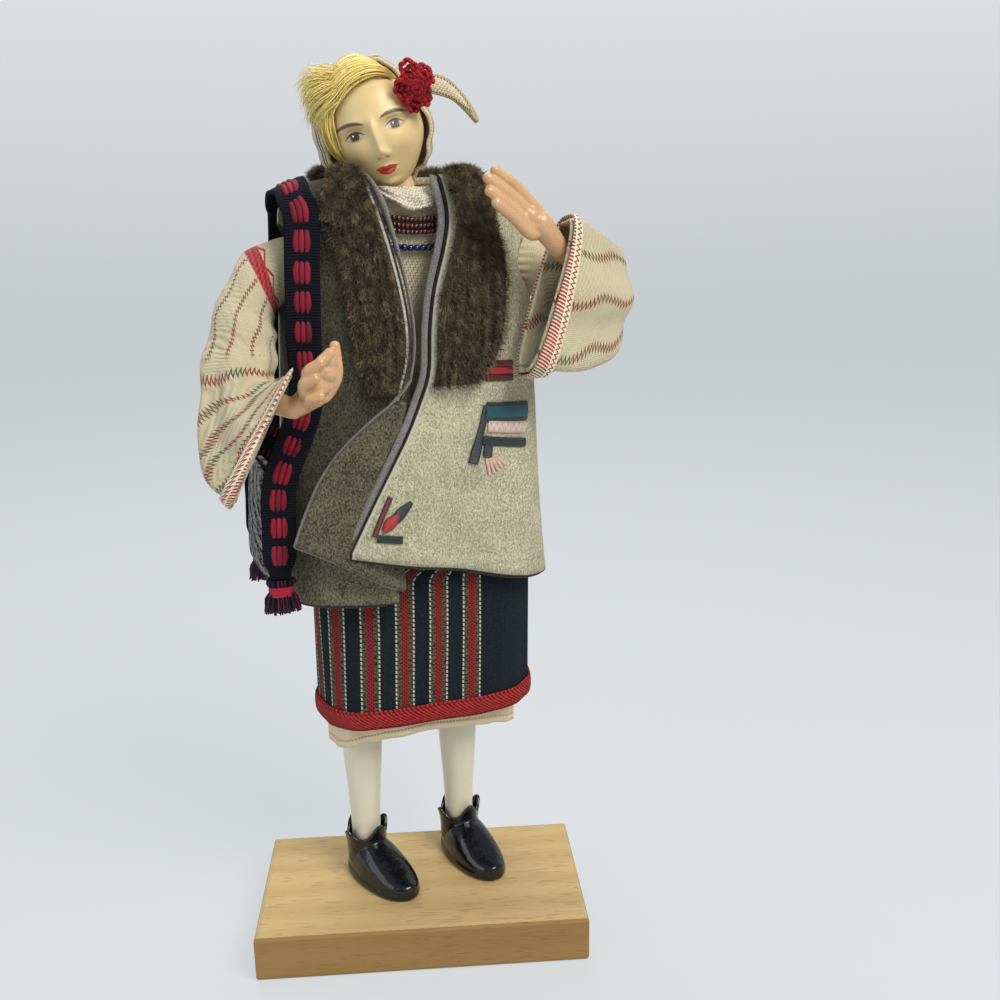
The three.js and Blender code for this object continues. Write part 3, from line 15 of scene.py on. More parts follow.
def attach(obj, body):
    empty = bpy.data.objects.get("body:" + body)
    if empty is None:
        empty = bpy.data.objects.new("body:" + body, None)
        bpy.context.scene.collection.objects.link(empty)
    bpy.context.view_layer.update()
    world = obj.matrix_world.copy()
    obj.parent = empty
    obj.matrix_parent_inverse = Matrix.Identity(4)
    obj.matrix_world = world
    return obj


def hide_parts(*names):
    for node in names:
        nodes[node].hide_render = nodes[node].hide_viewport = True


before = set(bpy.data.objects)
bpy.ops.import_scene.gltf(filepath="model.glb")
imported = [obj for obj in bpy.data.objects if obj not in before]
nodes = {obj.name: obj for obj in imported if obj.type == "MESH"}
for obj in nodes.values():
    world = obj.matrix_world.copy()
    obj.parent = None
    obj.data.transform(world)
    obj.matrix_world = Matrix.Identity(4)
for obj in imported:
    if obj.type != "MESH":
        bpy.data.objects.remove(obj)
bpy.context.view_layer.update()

bpy.ops.object.select_all(action="DESELECT")

# %% [markdown]
# The camera stands a little above the doll's shoulders, 25 cm away, and looks slightly down. The lens
# is given by its focal length in pixels of a frame 1000 pixels wide.

# %% Camera
SENSOR_WIDTH = 36
FRAME_PIXELS = 1000
FOCAL_PIXELS = 1062.75
CAMERA_PLACE = Vector((0.0022, -0.24542, 0.18125))
CAMERA_PITCH = 0.26558
CAMERA_ROLL = -0.010816
CAMERA_YAW = 0.078963

forward = Vector((
    math.sin(CAMERA_YAW) * math.cos(CAMERA_PITCH),
    math.cos(CAMERA_YAW) * math.cos(CAMERA_PITCH),
    -math.sin(CAMERA_PITCH),
))
level = Vector((math.cos(CAMERA_YAW), -math.sin(CAMERA_YAW), 0))
upward = level.cross(forward)
side_axis = math.cos(CAMERA_ROLL) * level + math.sin(CAMERA_ROLL) * upward
top_axis = -math.sin(CAMERA_ROLL) * level + math.cos(CAMERA_ROLL) * upward
bpy.ops.object.camera_add()
camera = bpy.context.object
camera.data.sensor_width = SENSOR_WIDTH
camera.data.lens = SENSOR_WIDTH * FOCAL_PIXELS / FRAME_PIXELS
camera.data.clip_start = 0.01
camera.data.clip_end = 20
camera.matrix_world = Matrix.Translation(CAMERA_PLACE) @ Matrix(
    (side_axis, top_axis, -forward)
).transposed().to_4x4()
bpy.context.scene.camera = camera
print("lens", round(camera.data.lens, 2), "mm")

# %% [markdown]
# Shader maths reads best as plain expressions. A small class wraps one output of a node, and Python's
# operators on it add Math nodes. A second class holds one finish: it makes any node by its type, its
# settings and its inputs, and mixes colours, which are written as they look on screen.

# %% Shader helpers
def srgb(red, green, blue):
    """A colour as it looks on screen, 0 to 255, in the linear values that a shader takes."""
    def linear(value):
        value /= 255
        return value / 12.92 if value <= 0.04045 else ((value + 0.055) / 1.055) ** 2.4
    return (linear(red), linear(green), linear(blue), 1.0)


class Wire:
    """One output of a node, as a number that changes over the surface."""

    def __init__(self, finish, socket):
        self.finish = finish
        self.socket = socket

    def math(self, operation, *others, clamp=False):
        inputs = dict(enumerate((self, *others)))
        settings = {"operation": operation, "use_clamp": clamp}
        return self.finish.node("ShaderNodeMath", settings, inputs)

    def __rsub__(self, other):
        return self.finish.node("ShaderNodeMath", {"operation": "SUBTRACT"}, {0: other, 1: self})

    def __neg__(self):
        return self * -1.0

    def wrap(self, period):
        """The distance from the nearest multiple of the period, with its sign."""
        return self.math("WRAP", period / 2, -period / 2)

    def wave(self, period):
        """A round ridge in every period, 0 at its feet and 1 at its top."""
        return ((self / period).fract() * math.pi).sin()

    def dash(self, period, share):
        """1 for the first share of every period, then 0."""
        return (self / period).fract().math("LESS_THAN", share)

    def over(self, edge, blur):
        """0 below the edge and 1 above it, with a soft border of the width blur."""
        return ((self - (edge - blur / 2)) / blur).math("ADD", 0.0, clamp=True)

    def within(self, half, blur):
        """1 where the number lies closer to 0 than half."""
        return 1 - abs(self).over(half, blur)


def as_method(operation):
    return lambda wire, *others: wire.math(operation, *others)


OPERATIONS = {
    "__add__": "ADD", "__radd__": "ADD", "__sub__": "SUBTRACT", "__mul__": "MULTIPLY",
    "__rmul__": "MULTIPLY", "__truediv__": "DIVIDE", "__abs__": "ABSOLUTE", "sin": "SINE",
    "floor": "FLOOR", "fract": "FRACT", "power": "POWER", "top": "MAXIMUM", "least": "MINIMUM",
}
for method, operation in OPERATIONS.items():
    setattr(Wire, method, as_method(operation))


class Finish:
    """A material under construction."""

    def __init__(self, name, roughness=0.6, **constants):
        self.material = bpy.data.materials.new(name)
        self.material.use_nodes = True
        self.tree = self.material.node_tree
        self.surface = self.tree.nodes["Principled BSDF"]
        self.surface.inputs["Roughness"].default_value = roughness
        for key, value in constants.items():
            self.surface.inputs[key.replace("_", " ")].default_value = value

    def feed(self, socket, value):
        """Links or sets an input. A colour is given as it looks on screen, three numbers to 255."""
        if isinstance(value, Wire):
            self.tree.links.new(value.socket, socket)
        else:
            socket.default_value = srgb(*value) if isinstance(value, tuple) else value

    def node(self, kind, settings=None, inputs=None, output=0):
        made = self.tree.nodes.new(kind)
        for key, value in (settings or {}).items():
            setattr(made, key, value)
        for key, value in (inputs or {}).items():
            self.feed(made.inputs[key], value)
        return Wire(self, made.outputs[output])

    def parts(self, vector):
        made = self.node("ShaderNodeSeparateXYZ", None, {0: vector})
        return [Wire(self, output) for output in made.socket.node.outputs]

    def combine(self, x, y, z=0.0):
        return self.node("ShaderNodeCombineXYZ", None, {0: x, 1: y, 2: z})

    def place_mm(self):
        """Where the surface is, in millimetres."""
        made = self.node("ShaderNodeTexCoord", output="Object")
        return self.node("ShaderNodeVectorMath", {"operation": "SCALE"}, {0: made, "Scale": 1000.0})

    def cut(self, layer="cut"):
        """The place on the flat cloth, in millimetres across and along."""
        u, v, _ = self.parts(self.node("ShaderNodeUVMap", {"uv_map": layer}))
        return u, v

    def noise(self, vector, scale, detail, rough=0.5):
        inputs = {"Vector": vector, "Scale": scale, "Detail": detail, "Roughness": rough}
        return self.node("ShaderNodeTexNoise", None, inputs)

    def speckle(self, scale, detail=2.0, rough=0.5):
        """Noise in the place of the surface, with scale spots in a millimetre."""
        return self.noise(self.place_mm(), scale, detail, rough)

    def grain(self, measures, detail=2.0, rough=0.5):
        """Noise in two or three measures that already carry their own scales."""
        return self.noise(self.combine(*measures), 1.0, detail, rough)

    def mix(self, share, low, high):
        return self.node("ShaderNodeMix", {"data_type": "RGBA"}, {0: share, 6: low, 7: high}, output=2)

    def bump(self, height, millimetres):
        return self.node("ShaderNodeBump", None, {"Height": height, "Distance": millimetres / 1000})

    def weave(self, u, v, pitch):
        """The height of a plain weave: threads that pass over each other in turn."""
        a, b = u / pitch, v / pitch
        turn = (a.floor() + b.floor()).math("PINGPONG", 1.0)
        warp, weft = (a.fract() * math.pi).sin(), (b.fract() * math.pi).sin()
        return turn * warp + (1 - turn) * weft

    def done(self, colour=None, roughness=None, normal=None):
        for key, value in {"Base Color": colour, "Roughness": roughness, "Normal": normal}.items():
            if value is not None:
                self.feed(self.surface.inputs[key], value)
        print("finish", self.material.name, len(self.tree.nodes), "nodes")
        return self.material


# %% [markdown]
# The doll stands on a plain pale table in soft studio light. The floor curves up into the backdrop
# far behind, so no edge shows. Two broad lamps and an even pale surrounding light keep every colour
# close to its written value.

# %% Light and floor
DAYLIGHT = srgb(236, 240, 246)
DAYLIGHT_STRENGTH = 0.36
GLOW_SHARE = 0.74
FLAT_SHARE = 0.62
FLOOR_WIDTH = 6
FLOOR_FRONT = -1.2
FLOOR_DEPTH = 2.6
BACKDROP_DEPTH = 0.7
BACKDROP_HEIGHT = 3.0


def lamp(name, place, aim, size, watts, tint):
    bpy.ops.object.light_add(type="AREA", location=place)
    made = bpy.context.object
    made.name = name
    made.data.size = size
    made.data.energy = watts
    made.data.color = tint
    made.rotation_euler = (Vector(aim) - Vector(place)).to_track_quat("-Z", "Y").to_euler()


lamp("key_lamp", (0.32, -0.36, 0.62), (0.0, 0.0, 0.11), 0.34, 4.3, (1.0, 0.97, 0.92))
lamp("fill_lamp", (-0.55, -0.30, 0.34), (0.0, 0.0, 0.10), 0.5, 1.0, (0.93, 0.97, 1.0))
lamp("top_lamp", (-0.05, 0.25, 0.62), (0.0, 0.0, 0.12), 0.4, 1.7, (1.0, 1.0, 1.0))
world = bpy.data.worlds.new("soft_room")
bpy.context.scene.world = world
world.use_nodes = True
daylight = world.node_tree.nodes["Background"]
daylight.inputs["Color"].default_value = DAYLIGHT
daylight.inputs["Strength"].default_value = DAYLIGHT_STRENGTH

backdrop = Finish("pale_backdrop", 0.9)
backdrop.surface.inputs["Base Color"].default_value = srgb(226, 228, 230)
rise = backdrop.parts(backdrop.place_mm())[2].over(300, 500)
glow_tone = backdrop.mix(rise, (214, 219, 222), (240, 243, 246))
glow = backdrop.node("ShaderNodeEmission", None, {"Color": glow_tone, "Strength": 1.0})
seen = backdrop.node("ShaderNodeLightPath", output="Is Camera Ray")
for ray in ("Is Glossy Ray", "Is Transmission Ray"):
    seen = seen.math("MAXIMUM", backdrop.node("ShaderNodeLightPath", output=ray))
output = backdrop.tree.nodes["Material Output"]
bare = Wire(backdrop, backdrop.surface.outputs[0])
blend = backdrop.node("ShaderNodeMixShader", None, {0: seen * GLOW_SHARE, 1: bare, 2: glow})
backdrop.feed(output.inputs["Surface"], blend)
backdrop_material = backdrop.done()

bpy.ops.mesh.primitive_grid_add(x_subdivisions=2, y_subdivisions=40, size=1)
floor = bpy.context.object
floor.name = "floor"
for vertex in floor.data.vertices:
    run = vertex.co.y + 0.5
    rise = max(0.0, run - FLAT_SHARE) / (1 - FLAT_SHARE)
    flat = FLOOR_DEPTH * min(run, FLAT_SHARE) / FLAT_SHARE
    vertex.co = (
        vertex.co.x * FLOOR_WIDTH,
        FLOOR_FRONT + flat + BACKDROP_DEPTH * math.sin(rise * math.pi / 2),
        BACKDROP_HEIGHT * rise ** 2,
    )
floor.data.materials.append(backdrop_material)
bpy.ops.object.shade_smooth()
print("floor", [round(v, 2) for v in floor.dimensions])

# %% [markdown]
# All the clothes follow one figure: an oval that changes from the hem to the shoulder and then closes
# to the neck. The numbers are the doll's measurements in millimetres, from the top of the base up. A
# point of the figure is found by its height share and its turn round the body. FIT is the gap between
# two pieces that touch, and EASE the gap that a loose garment keeps from what is under it.

# %% The figure that wears the clothes
FULLNESS = 2.6
FIT = 0.3
EASE = 0.6
BASE_TOP = 12.5
DOLL_PLACE = Vector((1, 6, BASE_TOP))
DOLL_TURN = math.radians(16)
METRES = 0.001
DOLL = (
    Matrix.Translation(DOLL_PLACE * METRES)
    @ Matrix.Rotation(DOLL_TURN, 4, "Z")
    @ Matrix.Scale(METRES, 4)
)


def mix(low, high, share):
    return low + (high - low) * share


def soft(value, start, end):
    share = min(1.0, max(0.0, (value - start) / (end - start)))
    return share * share * (3 - 2 * share)


def oval(turn, half_width, half_depth):
    c, s = math.cos(turn), math.sin(turn)
    power = 2 / FULLNESS
    return (
        half_width * math.copysign(abs(c) ** power, c),
        half_depth * math.copysign(abs(s) ** power, s),
    )


def front_turn(x, half_width):
    share = min(1.0, abs(x / half_width)) ** (FULLNESS / 2)
    return -math.acos(math.copysign(share, x))


def smooth_line(stations):
    """A smooth line through stations of height and value."""
    def line(z):
        if z <= stations[0][0]:
            return stations[0][1]
        for i in range(len(stations) - 1):
            (z0, v0), (z1, v1) = stations[i], stations[i + 1]
            if z <= z1:
                before, after = stations[max(0, i - 1)], stations[min(len(stations) - 1, i + 2)]
                t = (z - z0) / (z1 - z0)
                m0 = (v1 - before[1]) / (z1 - before[0]) * (z1 - z0)
                m1 = (after[1] - v0) / (after[0] - z0) * (z1 - z0)
                h = t * t * (3 - 2 * t)
                return v0 + (v1 - v0) * h + m0 * t * (1 - t) ** 2 - m1 * t * t * (1 - t)
        return stations[-1][1]
    return line


class Figure:
    def __init__(self, y, heights, hem, shoulder, neck):
        self.y = y
        self.hem_z, self.shoulder_z, self.neck_z = heights
        self.hem, self.shoulder, self.neck = hem, shoulder, neck

    def section(self, q, inset=0.0):
        """The height, half width and half depth: q is 0 at the hem, 1 at the shoulder, 2 at the neck."""
        if q <= 1:
            return (
                mix(self.hem_z, self.shoulder_z, q),
                mix(self.hem[0], self.shoulder[0], q) - inset,
                mix(self.hem[1], self.shoulder[1], q) - inset,
            )
        turn = (q - 1) * math.pi / 2
        return (
            self.shoulder_z + (self.neck_z - self.shoulder_z - inset) * math.sin(turn),
            mix(self.neck[0], self.shoulder[0] - inset, math.cos(turn)),
            mix(self.neck[1], self.shoulder[1] - inset, math.cos(turn)),
        )

    def at(self, q, turn, inset=0.0):
        z, a, b = self.section(q, inset)
        x, y = oval(turn, a, b)
        return Vector((x, self.y + y, z))

    def q_of(self, z):
        if z <= self.shoulder_z:
            return (z - self.hem_z) / (self.shoulder_z - self.hem_z)
        rise = min(1.0, (z - self.shoulder_z) / (self.neck_z - self.shoulder_z))
        return 1 + math.asin(rise) / (math.pi / 2)

    def front(self, x, z, outside=0.0):
        q = self.q_of(z)
        return self.at(q, front_turn(x, self.section(q, -outside)[1]), -outside)


vest = Figure(
    y=0.0, heights=(80, 168, 176.6), hem=(33, 18), shoulder=(28.6, 13), neck=(12.6, 10.4)
)
bodice = Figure(
    y=1.4, heights=(104, 166, 173.6), hem=(15, 8), shoulder=(21, 9.4), neck=(8.6, 7.4)
)
print("vest at the shoulder", [round(v, 1) for v in vest.section(1)])

# %% [markdown]
# Cloth is made from a flat grid. Every point of the grid is moved to its place on the figure, and the
# grid keeps its flat measure as a UV map in millimetres, so that a weave, a stripe or a row of
# stitches follows the cloth. Solidify then gives the cloth its thickness.

# %% Helpers for cloth and cords
def alone(piece):
    bpy.ops.object.select_all(action="DESELECT")
    piece.select_set(True)
    bpy.context.view_layer.objects.active = piece


def apply_modifier(piece, kind, **settings):
    alone(piece)
    made = piece.modifiers.new(kind.lower(), kind)
    for key, value in settings.items():
        setattr(made, key, value)
    bpy.ops.object.modifier_apply(modifier=made.name)


def in_edit(piece, *steps):
    """Runs steps in edit mode on all of the piece."""
    alone(piece)
    bpy.ops.object.mode_set(mode="EDIT")
    bpy.ops.mesh.select_all(action="SELECT")
    for step in steps:
        step()
    bpy.ops.object.mode_set(mode="OBJECT")


def weld():
    bpy.ops.mesh.remove_doubles(threshold=0.002)


def close_ends():
    bpy.ops.mesh.select_all(action="DESELECT")
    bpy.ops.mesh.select_non_manifold()
    bpy.ops.mesh.fill_holes(sides=0)


def outwards():
    bpy.ops.mesh.select_all(action="SELECT")
    bpy.ops.mesh.normals_make_consistent(inside=False)


def running(points, axis, from_end):
    """The distance along a grid of points, from its start or from its end."""
    steps = np.linalg.norm(np.diff(points, axis=axis), axis=2)
    total = np.concatenate([np.zeros_like(np.take(steps, [0], axis)), np.cumsum(steps, axis)], axis)
    return np.take(total, [-1], axis) - total if from_end else total


def grid_of(place, columns, rows):
    return np.array([
        [place(i / columns, j / rows) for i in range(columns + 1)] for j in range(rows + 1)
    ])


def cloth(
    name, columns, rows, place, thickness=0.0,
    around=False, from_end=(False, False), flip=False, shares=False,
):
    """A sheet whose point at the shares s across and t along is place(s, t), in millimetres.

    An end that meets its own start is welded when the sheet goes around. from_end says whether the
    flat measures run from the far ends, and shares adds a second UV map with s and t themselves.
    """
    bpy.ops.object.select_all(action="DESELECT")
    bpy.ops.mesh.primitive_grid_add(x_subdivisions=columns, y_subdivisions=rows, size=1)
    piece = bpy.context.object
    piece.name = piece.data.name = name
    mesh = piece.data
    points = grid_of(place, columns, rows)
    across, along = running(points, 1, from_end[0]), running(points, 0, from_end[1])
    where = [
        (round((v.co.y + 0.5) * rows), round((v.co.x + 0.5) * columns)) for v in mesh.vertices
    ]
    layer = mesh.uv_layers[0]
    layer.name = "cut"
    for loop in mesh.loops:
        layer.data[loop.index].uv = (across[where[loop.vertex_index]], along[where[loop.vertex_index]])
    if shares:
        second = mesh.uv_layers.new(name="shares")
        for loop in mesh.loops:
            j, i = where[loop.vertex_index]
            second.data[loop.index].uv = (i / columns, j / rows)
    for vertex, spot in zip(mesh.vertices, where):
        vertex.co = points[spot]
    piece["cut_mm2"] = sum(face.area for face in mesh.polygons)
    piece["cut_mm"] = (float(across.max()), float(along.max()))
    if around:
        in_edit(piece, weld)
    if flip:
        in_edit(piece, bpy.ops.mesh.flip_normals)
    if thickness:
        apply_modifier(piece, "SOLIDIFY", thickness=thickness, offset=-1)
    bpy.ops.object.shade_smooth()
    return piece


ASKEW = (0.31, 0.87, 0.39)


def frames_along(path):
    """Two cross directions at each point of a path, which turn with it as little as possible.

    The first comes from a direction that no path here starts in.
    """
    tangents = np.gradient(path, axis=0)
    tangents /= np.linalg.norm(tangents, axis=1)[:, None]
    first = np.cross(tangents[0], ASKEW)
    sides = [first / np.linalg.norm(first)]
    for tangent in tangents[1:]:
        side = sides[-1] - tangent * np.dot(sides[-1], tangent)
        sides.append(side / np.linalg.norm(side))
    sides = np.array(sides)
    return sides, np.cross(tangents, sides)


def smooth_path(points, count):
    """A Catmull-Rom line through a few points."""
    points = np.array(points, float)
    ends = [2 * points[0] - points[1], *points, 2 * points[-1] - points[-2]]
    out = []
    for share in np.linspace(0, len(points) - 1, count):
        i = min(int(share), len(points) - 2)
        t = share - i
        a, b, c, d = (np.array(p) for p in ends[i:i + 4])
        out.append(b + 0.5 * t * (c - a + t * (2 * a - 5 * b + 4 * c - d + t * (3 * (b - c) + d - a))))
    return np.array(out)


def rope(name, path, radius, sides=10, squeeze=1.0):
    """A round bar along a path. radius(share) is its thickness, squeeze flattens it."""
    path = np.array(path, float)
    side, up = frames_along(path)
    last = len(path) - 1

    def place(s, t):
        i = round(t * last)
        turn = s * math.tau
        offset = side[i] * math.cos(turn) + up[i] * math.sin(turn) * squeeze
        return path[i] + offset * radius(t)

    piece = cloth(name, sides, last, place, around=True)
    in_edit(piece, close_ends, outwards)
    bpy.ops.object.shade_smooth()
    return piece


def tube(name, path, radius, sides=10, squeeze=1.0):
    """A rope that is equally thick everywhere."""
    return rope(name, path, lambda t: radius, sides, squeeze)


def ball(radius, at, segments, rings):
    bpy.ops.mesh.primitive_uv_sphere_add(
        segments=segments, ring_count=rings, radius=radius, location=at
    )
    return bpy.context.object


def bar(radius, depth, vertices, at=(0, 0, 0), turn=(0, 0, 0)):
    """A round bar with flat ends, whose place is not yet applied."""
    bpy.ops.mesh.primitive_cylinder_add(
        vertices=vertices, radius=radius, depth=depth, location=at, rotation=turn
    )
    return bpy.context.object


def apply_place():
    bpy.ops.object.transform_apply(location=True, rotation=True, scale=True)


def cut_with(piece, tool):
    """Cuts a tool out of a piece, and removes the tool."""
    apply_modifier(piece, "BOOLEAN", operation="DIFFERENCE", object=tool, solver="EXACT")
    bpy.data.objects.remove(tool)


def dressed(piece, material, layer=None):
    """Gives a piece its material, and its first UV map the name that the material reads."""
    piece.data.materials.clear()
    piece.data.materials.append(material)
    if layer is not None:
        piece.data.uv_layers[0].name = layer
    return piece


def joined(name, pieces):
    alone(pieces[0])
    for piece in pieces:
        piece.select_set(True)
    bpy.ops.object.join()
    bpy.context.object.name = bpy.context.object.data.name = name
    return bpy.context.object


def settle(piece, material, body, replaced=(), frame_matrix=DOLL):
    """Puts a finished piece in its place in metres, dresses it, and hangs it on its body."""
    piece.data.transform(frame_matrix)
    piece.data.update()
    if material is not None:
        dressed(piece, material)
    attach(piece, body)
    if replaced:
        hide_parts(*replaced)
    print(piece.name, len(piece.data.polygons), "faces")
    return piece


LEAST_SIDE = 0.0101
LEAST_FILL = 0.31


def declare(piece):
    """Prints the size that the flat cut of a cloth piece has."""
    width, length = (max(LEAST_SIDE, v / 1000) for v in piece["cut_mm"])
    area = min(width * length, max(LEAST_FILL * width * length, piece["cut_mm2"] / 1e6))
    print("  cut", round(width * 1000, 1), "x", round(length * 1000, 1), "mm")


# %% [markdown]
# The base is a block of beech, sanded and oiled. Beech shows fine growth lines along the block and
# short dark flecks. Both are noise that is stretched along the grain. The block and its two screws
# keep their solids, so they only get their finish.

# %% Beech base
wood = Finish("beech", 0.5, Specular_IOR_Level=0.35)
x, y, z = wood.parts(wood.place_mm())
wander = wood.grain((x * 0.012, y * 0.05, z * 0.05), 3.0)
rings = ((y * 0.9 + z * 0.55 + wander * 14.0) * 0.75).sin() * 0.5 + 0.5
fleck = wood.grain((x * 0.22, y * 2.6, z * 2.6), 1.0).over(0.66, 0.06)
fine = wood.grain((x * 0.06, y * 1.6, z * 1.6), 4.0, 0.7)
tone = wood.mix(rings * 0.4 + fine * 0.4, (204, 178, 124), (180, 150, 96))
tone = wood.mix(fleck * 0.3, tone, (142, 106, 62))
# The upright sides of the block are darkened with painted shade, as they get less light than the top.
painted_side_shade = 1 - wood.parts(wood.node("ShaderNodeNewGeometry", output="Normal"))[2].over(0.5, 0.3)
tone = wood.mix(painted_side_shade * 0.75, tone, (136, 96, 36))
beech = wood.done(tone, fine * 0.25 + 0.38, wood.bump(fine - fleck * 0.6, 0.12))
dressed(nodes["base_block"], beech)

steel = Finish("turned_steel", 0.3, Metallic=1.0)
grind = steel.speckle(3.0, 2.0)
steel_finish = steel.done(
    steel.mix(grind, (150, 150, 146), (184, 184, 180)), grind * 0.2 + 0.22
)
for name in ("foot_screw_left", "foot_screw_right"):
    dressed(nodes[name], steel_finish)

# %% [markdown]
# The legs are straight cream plastic rods with a slight calf. A round bar along a path does it, and
# its thickness changes from the ankle to the thigh. For each leg the table says where it stands, how
# far to the side its hip is, and by how many degrees the toe turns.

# %% Legs
LEG_FOOT = 2.7
KNEE = 35
LEG_TOP = 84
LEGS = {"right": (-15, 3.2, -8.3, 22), "left": (11, 4.0, 8.3, 12)}
leg_radius = smooth_line([(0, 3.6), (18, 3.9), (40, 5.2), (58, 5.0), (LEG_TOP, 6.2)])


def plastic(name, dark, light, depth, cloud_scale, grit_scale, rough):
    """A glossy moulding that lets a little light in, cloudy in tone and finely pitted."""
    made = Finish(name, 0.3, Coat_Weight=0.25, Subsurface_Weight=0.12)
    made.surface.inputs["Subsurface Radius"].default_value = depth
    cloud = made.speckle(cloud_scale, 3.0)
    grit = made.speckle(grit_scale, 2.0)
    tone = made.mix(cloud, dark, light)
    return made.done(tone, grit * 0.16 + rough, made.bump(grit, 0.03))


leg_finish = plastic(
    "cream_plastic", (210, 204, 178), (226, 221, 198), (0.004, 0.003, 0.002), 0.12, 2.6, 0.22
)


def leg_path(x, y, hip):
    out = []
    for z in np.linspace(LEG_FOOT, LEG_TOP, 40):
        lean = soft(z, KNEE, LEG_TOP)
        out.append((mix(x, hip, lean), mix(y, bodice.y, lean), z))
    return out


for side, (x, y, hip, _) in LEGS.items():
    path = leg_path(x, y, hip)
    leg = rope(f"leg_{side}_moulding", path, lambda t: leg_radius(mix(LEG_FOOT, LEG_TOP, t)), 32)
    settle(leg, leg_finish, "figure", [f"leg_{side}"])

# %% [markdown]
# The shoes are thin glossy mouldings: a low rounded toe, a sole with a narrow welt, and a collar with
# a pointed tongue and small tabs that stand off the leg. The foot is a ring of points for each slice
# from toe to heel, the collar is a sheet round the ankle. Both are joined, melted into one skin with
# a voxel remesh and smoothed, as a moulding is.

# %% Shoes
SHOE_LENGTH = 26
SHOE_HALF = 5.8
SHOE_HEIGHT = 10.4
SHOE_FORWARD = 6.5
SHOE_WALL = 0.85
SOLE = 2.4
WELT_TOP = SOLE * 0.7
WELT = 0.55


def foot_point(s, t):
    y = mix(-SHOE_LENGTH / 2, SHOE_LENGTH / 2, (1 - math.cos(t * math.pi)) / 2)
    share = abs(y / (SHOE_LENGTH / 2))
    end = math.sqrt(max(0.0, 1 - share ** 2.6))
    half = SHOE_HALF * end * mix(1, 0.9, soft(y, 0, SHOE_LENGTH / 2))
    rise = mix(0.42, 1, soft(y, -SHOE_LENGTH / 2, SHOE_LENGTH / 6))
    height = SHOE_HEIGHT * rise * mix(0.7, 1, end)
    turn = s * math.tau
    c, up = math.cos(turn), math.sin(turn)
    if up >= 0:
        z = WELT_TOP + (height - WELT_TOP) * up ** 0.8 * (0.2 + 0.8 * min(1, end * 3))
        return Vector((half * math.copysign(abs(c) ** 0.86, c), y - SHOE_FORWARD, z))
    welt = WELT * end * soft(-up, 0.02, 0.3)
    flat = math.copysign(abs(c) ** 0.35, c)
    return Vector(((half + welt) * flat, y - SHOE_FORWARD, WELT_TOP * (1 - soft(-up, 0.05, 0.55))))


def shoe_collar_point(s, t):
    turn = s * math.tau

    def bump(centre, width):
        gap = math.atan2(math.sin(turn - centre), math.cos(turn - centre))
        return math.exp(-((gap / width) ** 2))

    tongue = bump(-math.pi / 2, 0.42)
    tabs = bump(math.pi / 2, 0.4) + bump(0, 0.34) + bump(math.pi, 0.34)
    flare = 1.3 * (bump(-math.pi / 2, 0.5) + bump(math.pi / 2, 0.5) + bump(0, 0.4) + bump(math.pi, 0.4))
    z = mix(SOLE + 1.2, 11 + 3.8 * tongue + 2.2 * tabs, t)
    radius = leg_radius(z) + EASE + SHOE_WALL + flare * t ** 3
    return Vector((radius * math.cos(turn), radius * math.sin(turn), z))


def shoe(side, x, y, toe_turn):
    foot = cloth(f"foot_{side}", 56, 44, foot_point, around=True)
    in_edit(foot, weld, close_ends, outwards)
    ring = cloth(f"collar_{side}", 72, 12, shoe_collar_point, SHOE_WALL, around=True)
    piece = joined(f"shoe_{side}_moulding", [foot, ring])
    apply_modifier(piece, "REMESH", mode="VOXEL", voxel_size=0.26, use_smooth_shade=True)
    apply_modifier(piece, "SMOOTH", factor=0.5, iterations=4)
    piece.data.transform(
        Matrix.Translation((x, y, FIT)) @ Matrix.Rotation(math.radians(toe_turn), 4, "Z")
    )
    return piece


gloss = Finish("shoe_gloss", 0.16, Coat_Weight=0.25, Coat_Roughness=0.08)
scuff = gloss.speckle(0.7, 5.0, 0.6)
shoe_finish = gloss.done(
    gloss.mix(scuff, (8, 10, 14), (16, 19, 25)),
    scuff.over(0.62, 0.3) * 0.2 + 0.13,
    gloss.bump(gloss.speckle(0.35, 2.0), 0.25),
)
for side, (x, y, _, toe_turn) in LEGS.items():
    settle(shoe(side, x, y, toe_turn), shoe_finish, "figure", [f"shoe_{side}"])

# %% [markdown]
# The petticoat is the hem of the long shift: fine cream cotton that hangs in shallow folds and dips
# round each leg. Its hem is turned up and sewn with one row of small stitches.

# %% Petticoat
SKIRT_TOP = 109
SPREAD_TOP = 101
SPREAD_FOOT = 84
SPREAD_HALF_WIDTH = 26.4
SPREAD_HALF_DEPTH = 14
PETTICOAT_HEM = 41.6
PETTICOAT_TOP = 103.5
HEM_TURN = 1.9
waist = bodice.section(bodice.q_of(SKIRT_TOP))


def skirt_section(z, inset):
    """The middle, half width and half depth of the skirt's oval at a height."""
    spread = soft(z, SPREAD_TOP, SPREAD_FOOT)
    return (
        spread,
        mix(bodice.y, 1.2, spread),
        mix(waist[1] + EASE + 0.9, SPREAD_HALF_WIDTH, spread) - inset,
        mix(waist[2] + EASE + 0.9, SPREAD_HALF_DEPTH, spread) - inset,
    )


def petticoat_point(s, t):
    turn = s * math.tau
    lobes = 2.2 * math.cos(2 * turn + 0.2) * (1 - soft(t, 0, 0.35))
    z = mix(PETTICOAT_HEM, PETTICOAT_TOP, t) - lobes
    full = soft(z, 104, 84)
    low = 1 - soft(t, 0, 0.5)
    x, y, a, b = skirt_section(z, 0.9 + mix(EASE, 1.2, full))
    fold = full * (0.35 * math.sin(9 * turn) + low * (0.3 * math.sin(17 * turn + 1) - 0.35))
    dx, dy = oval(turn, a + fold, b + fold)
    return Vector((x + dx, y + dy, z))


def hem_row(distance, along, at, pitch, share, half=0.11):
    """A row of running stitches at a distance from the edge: its mask."""
    return (distance - at).within(half, 0.06) * along.dash(pitch, share)


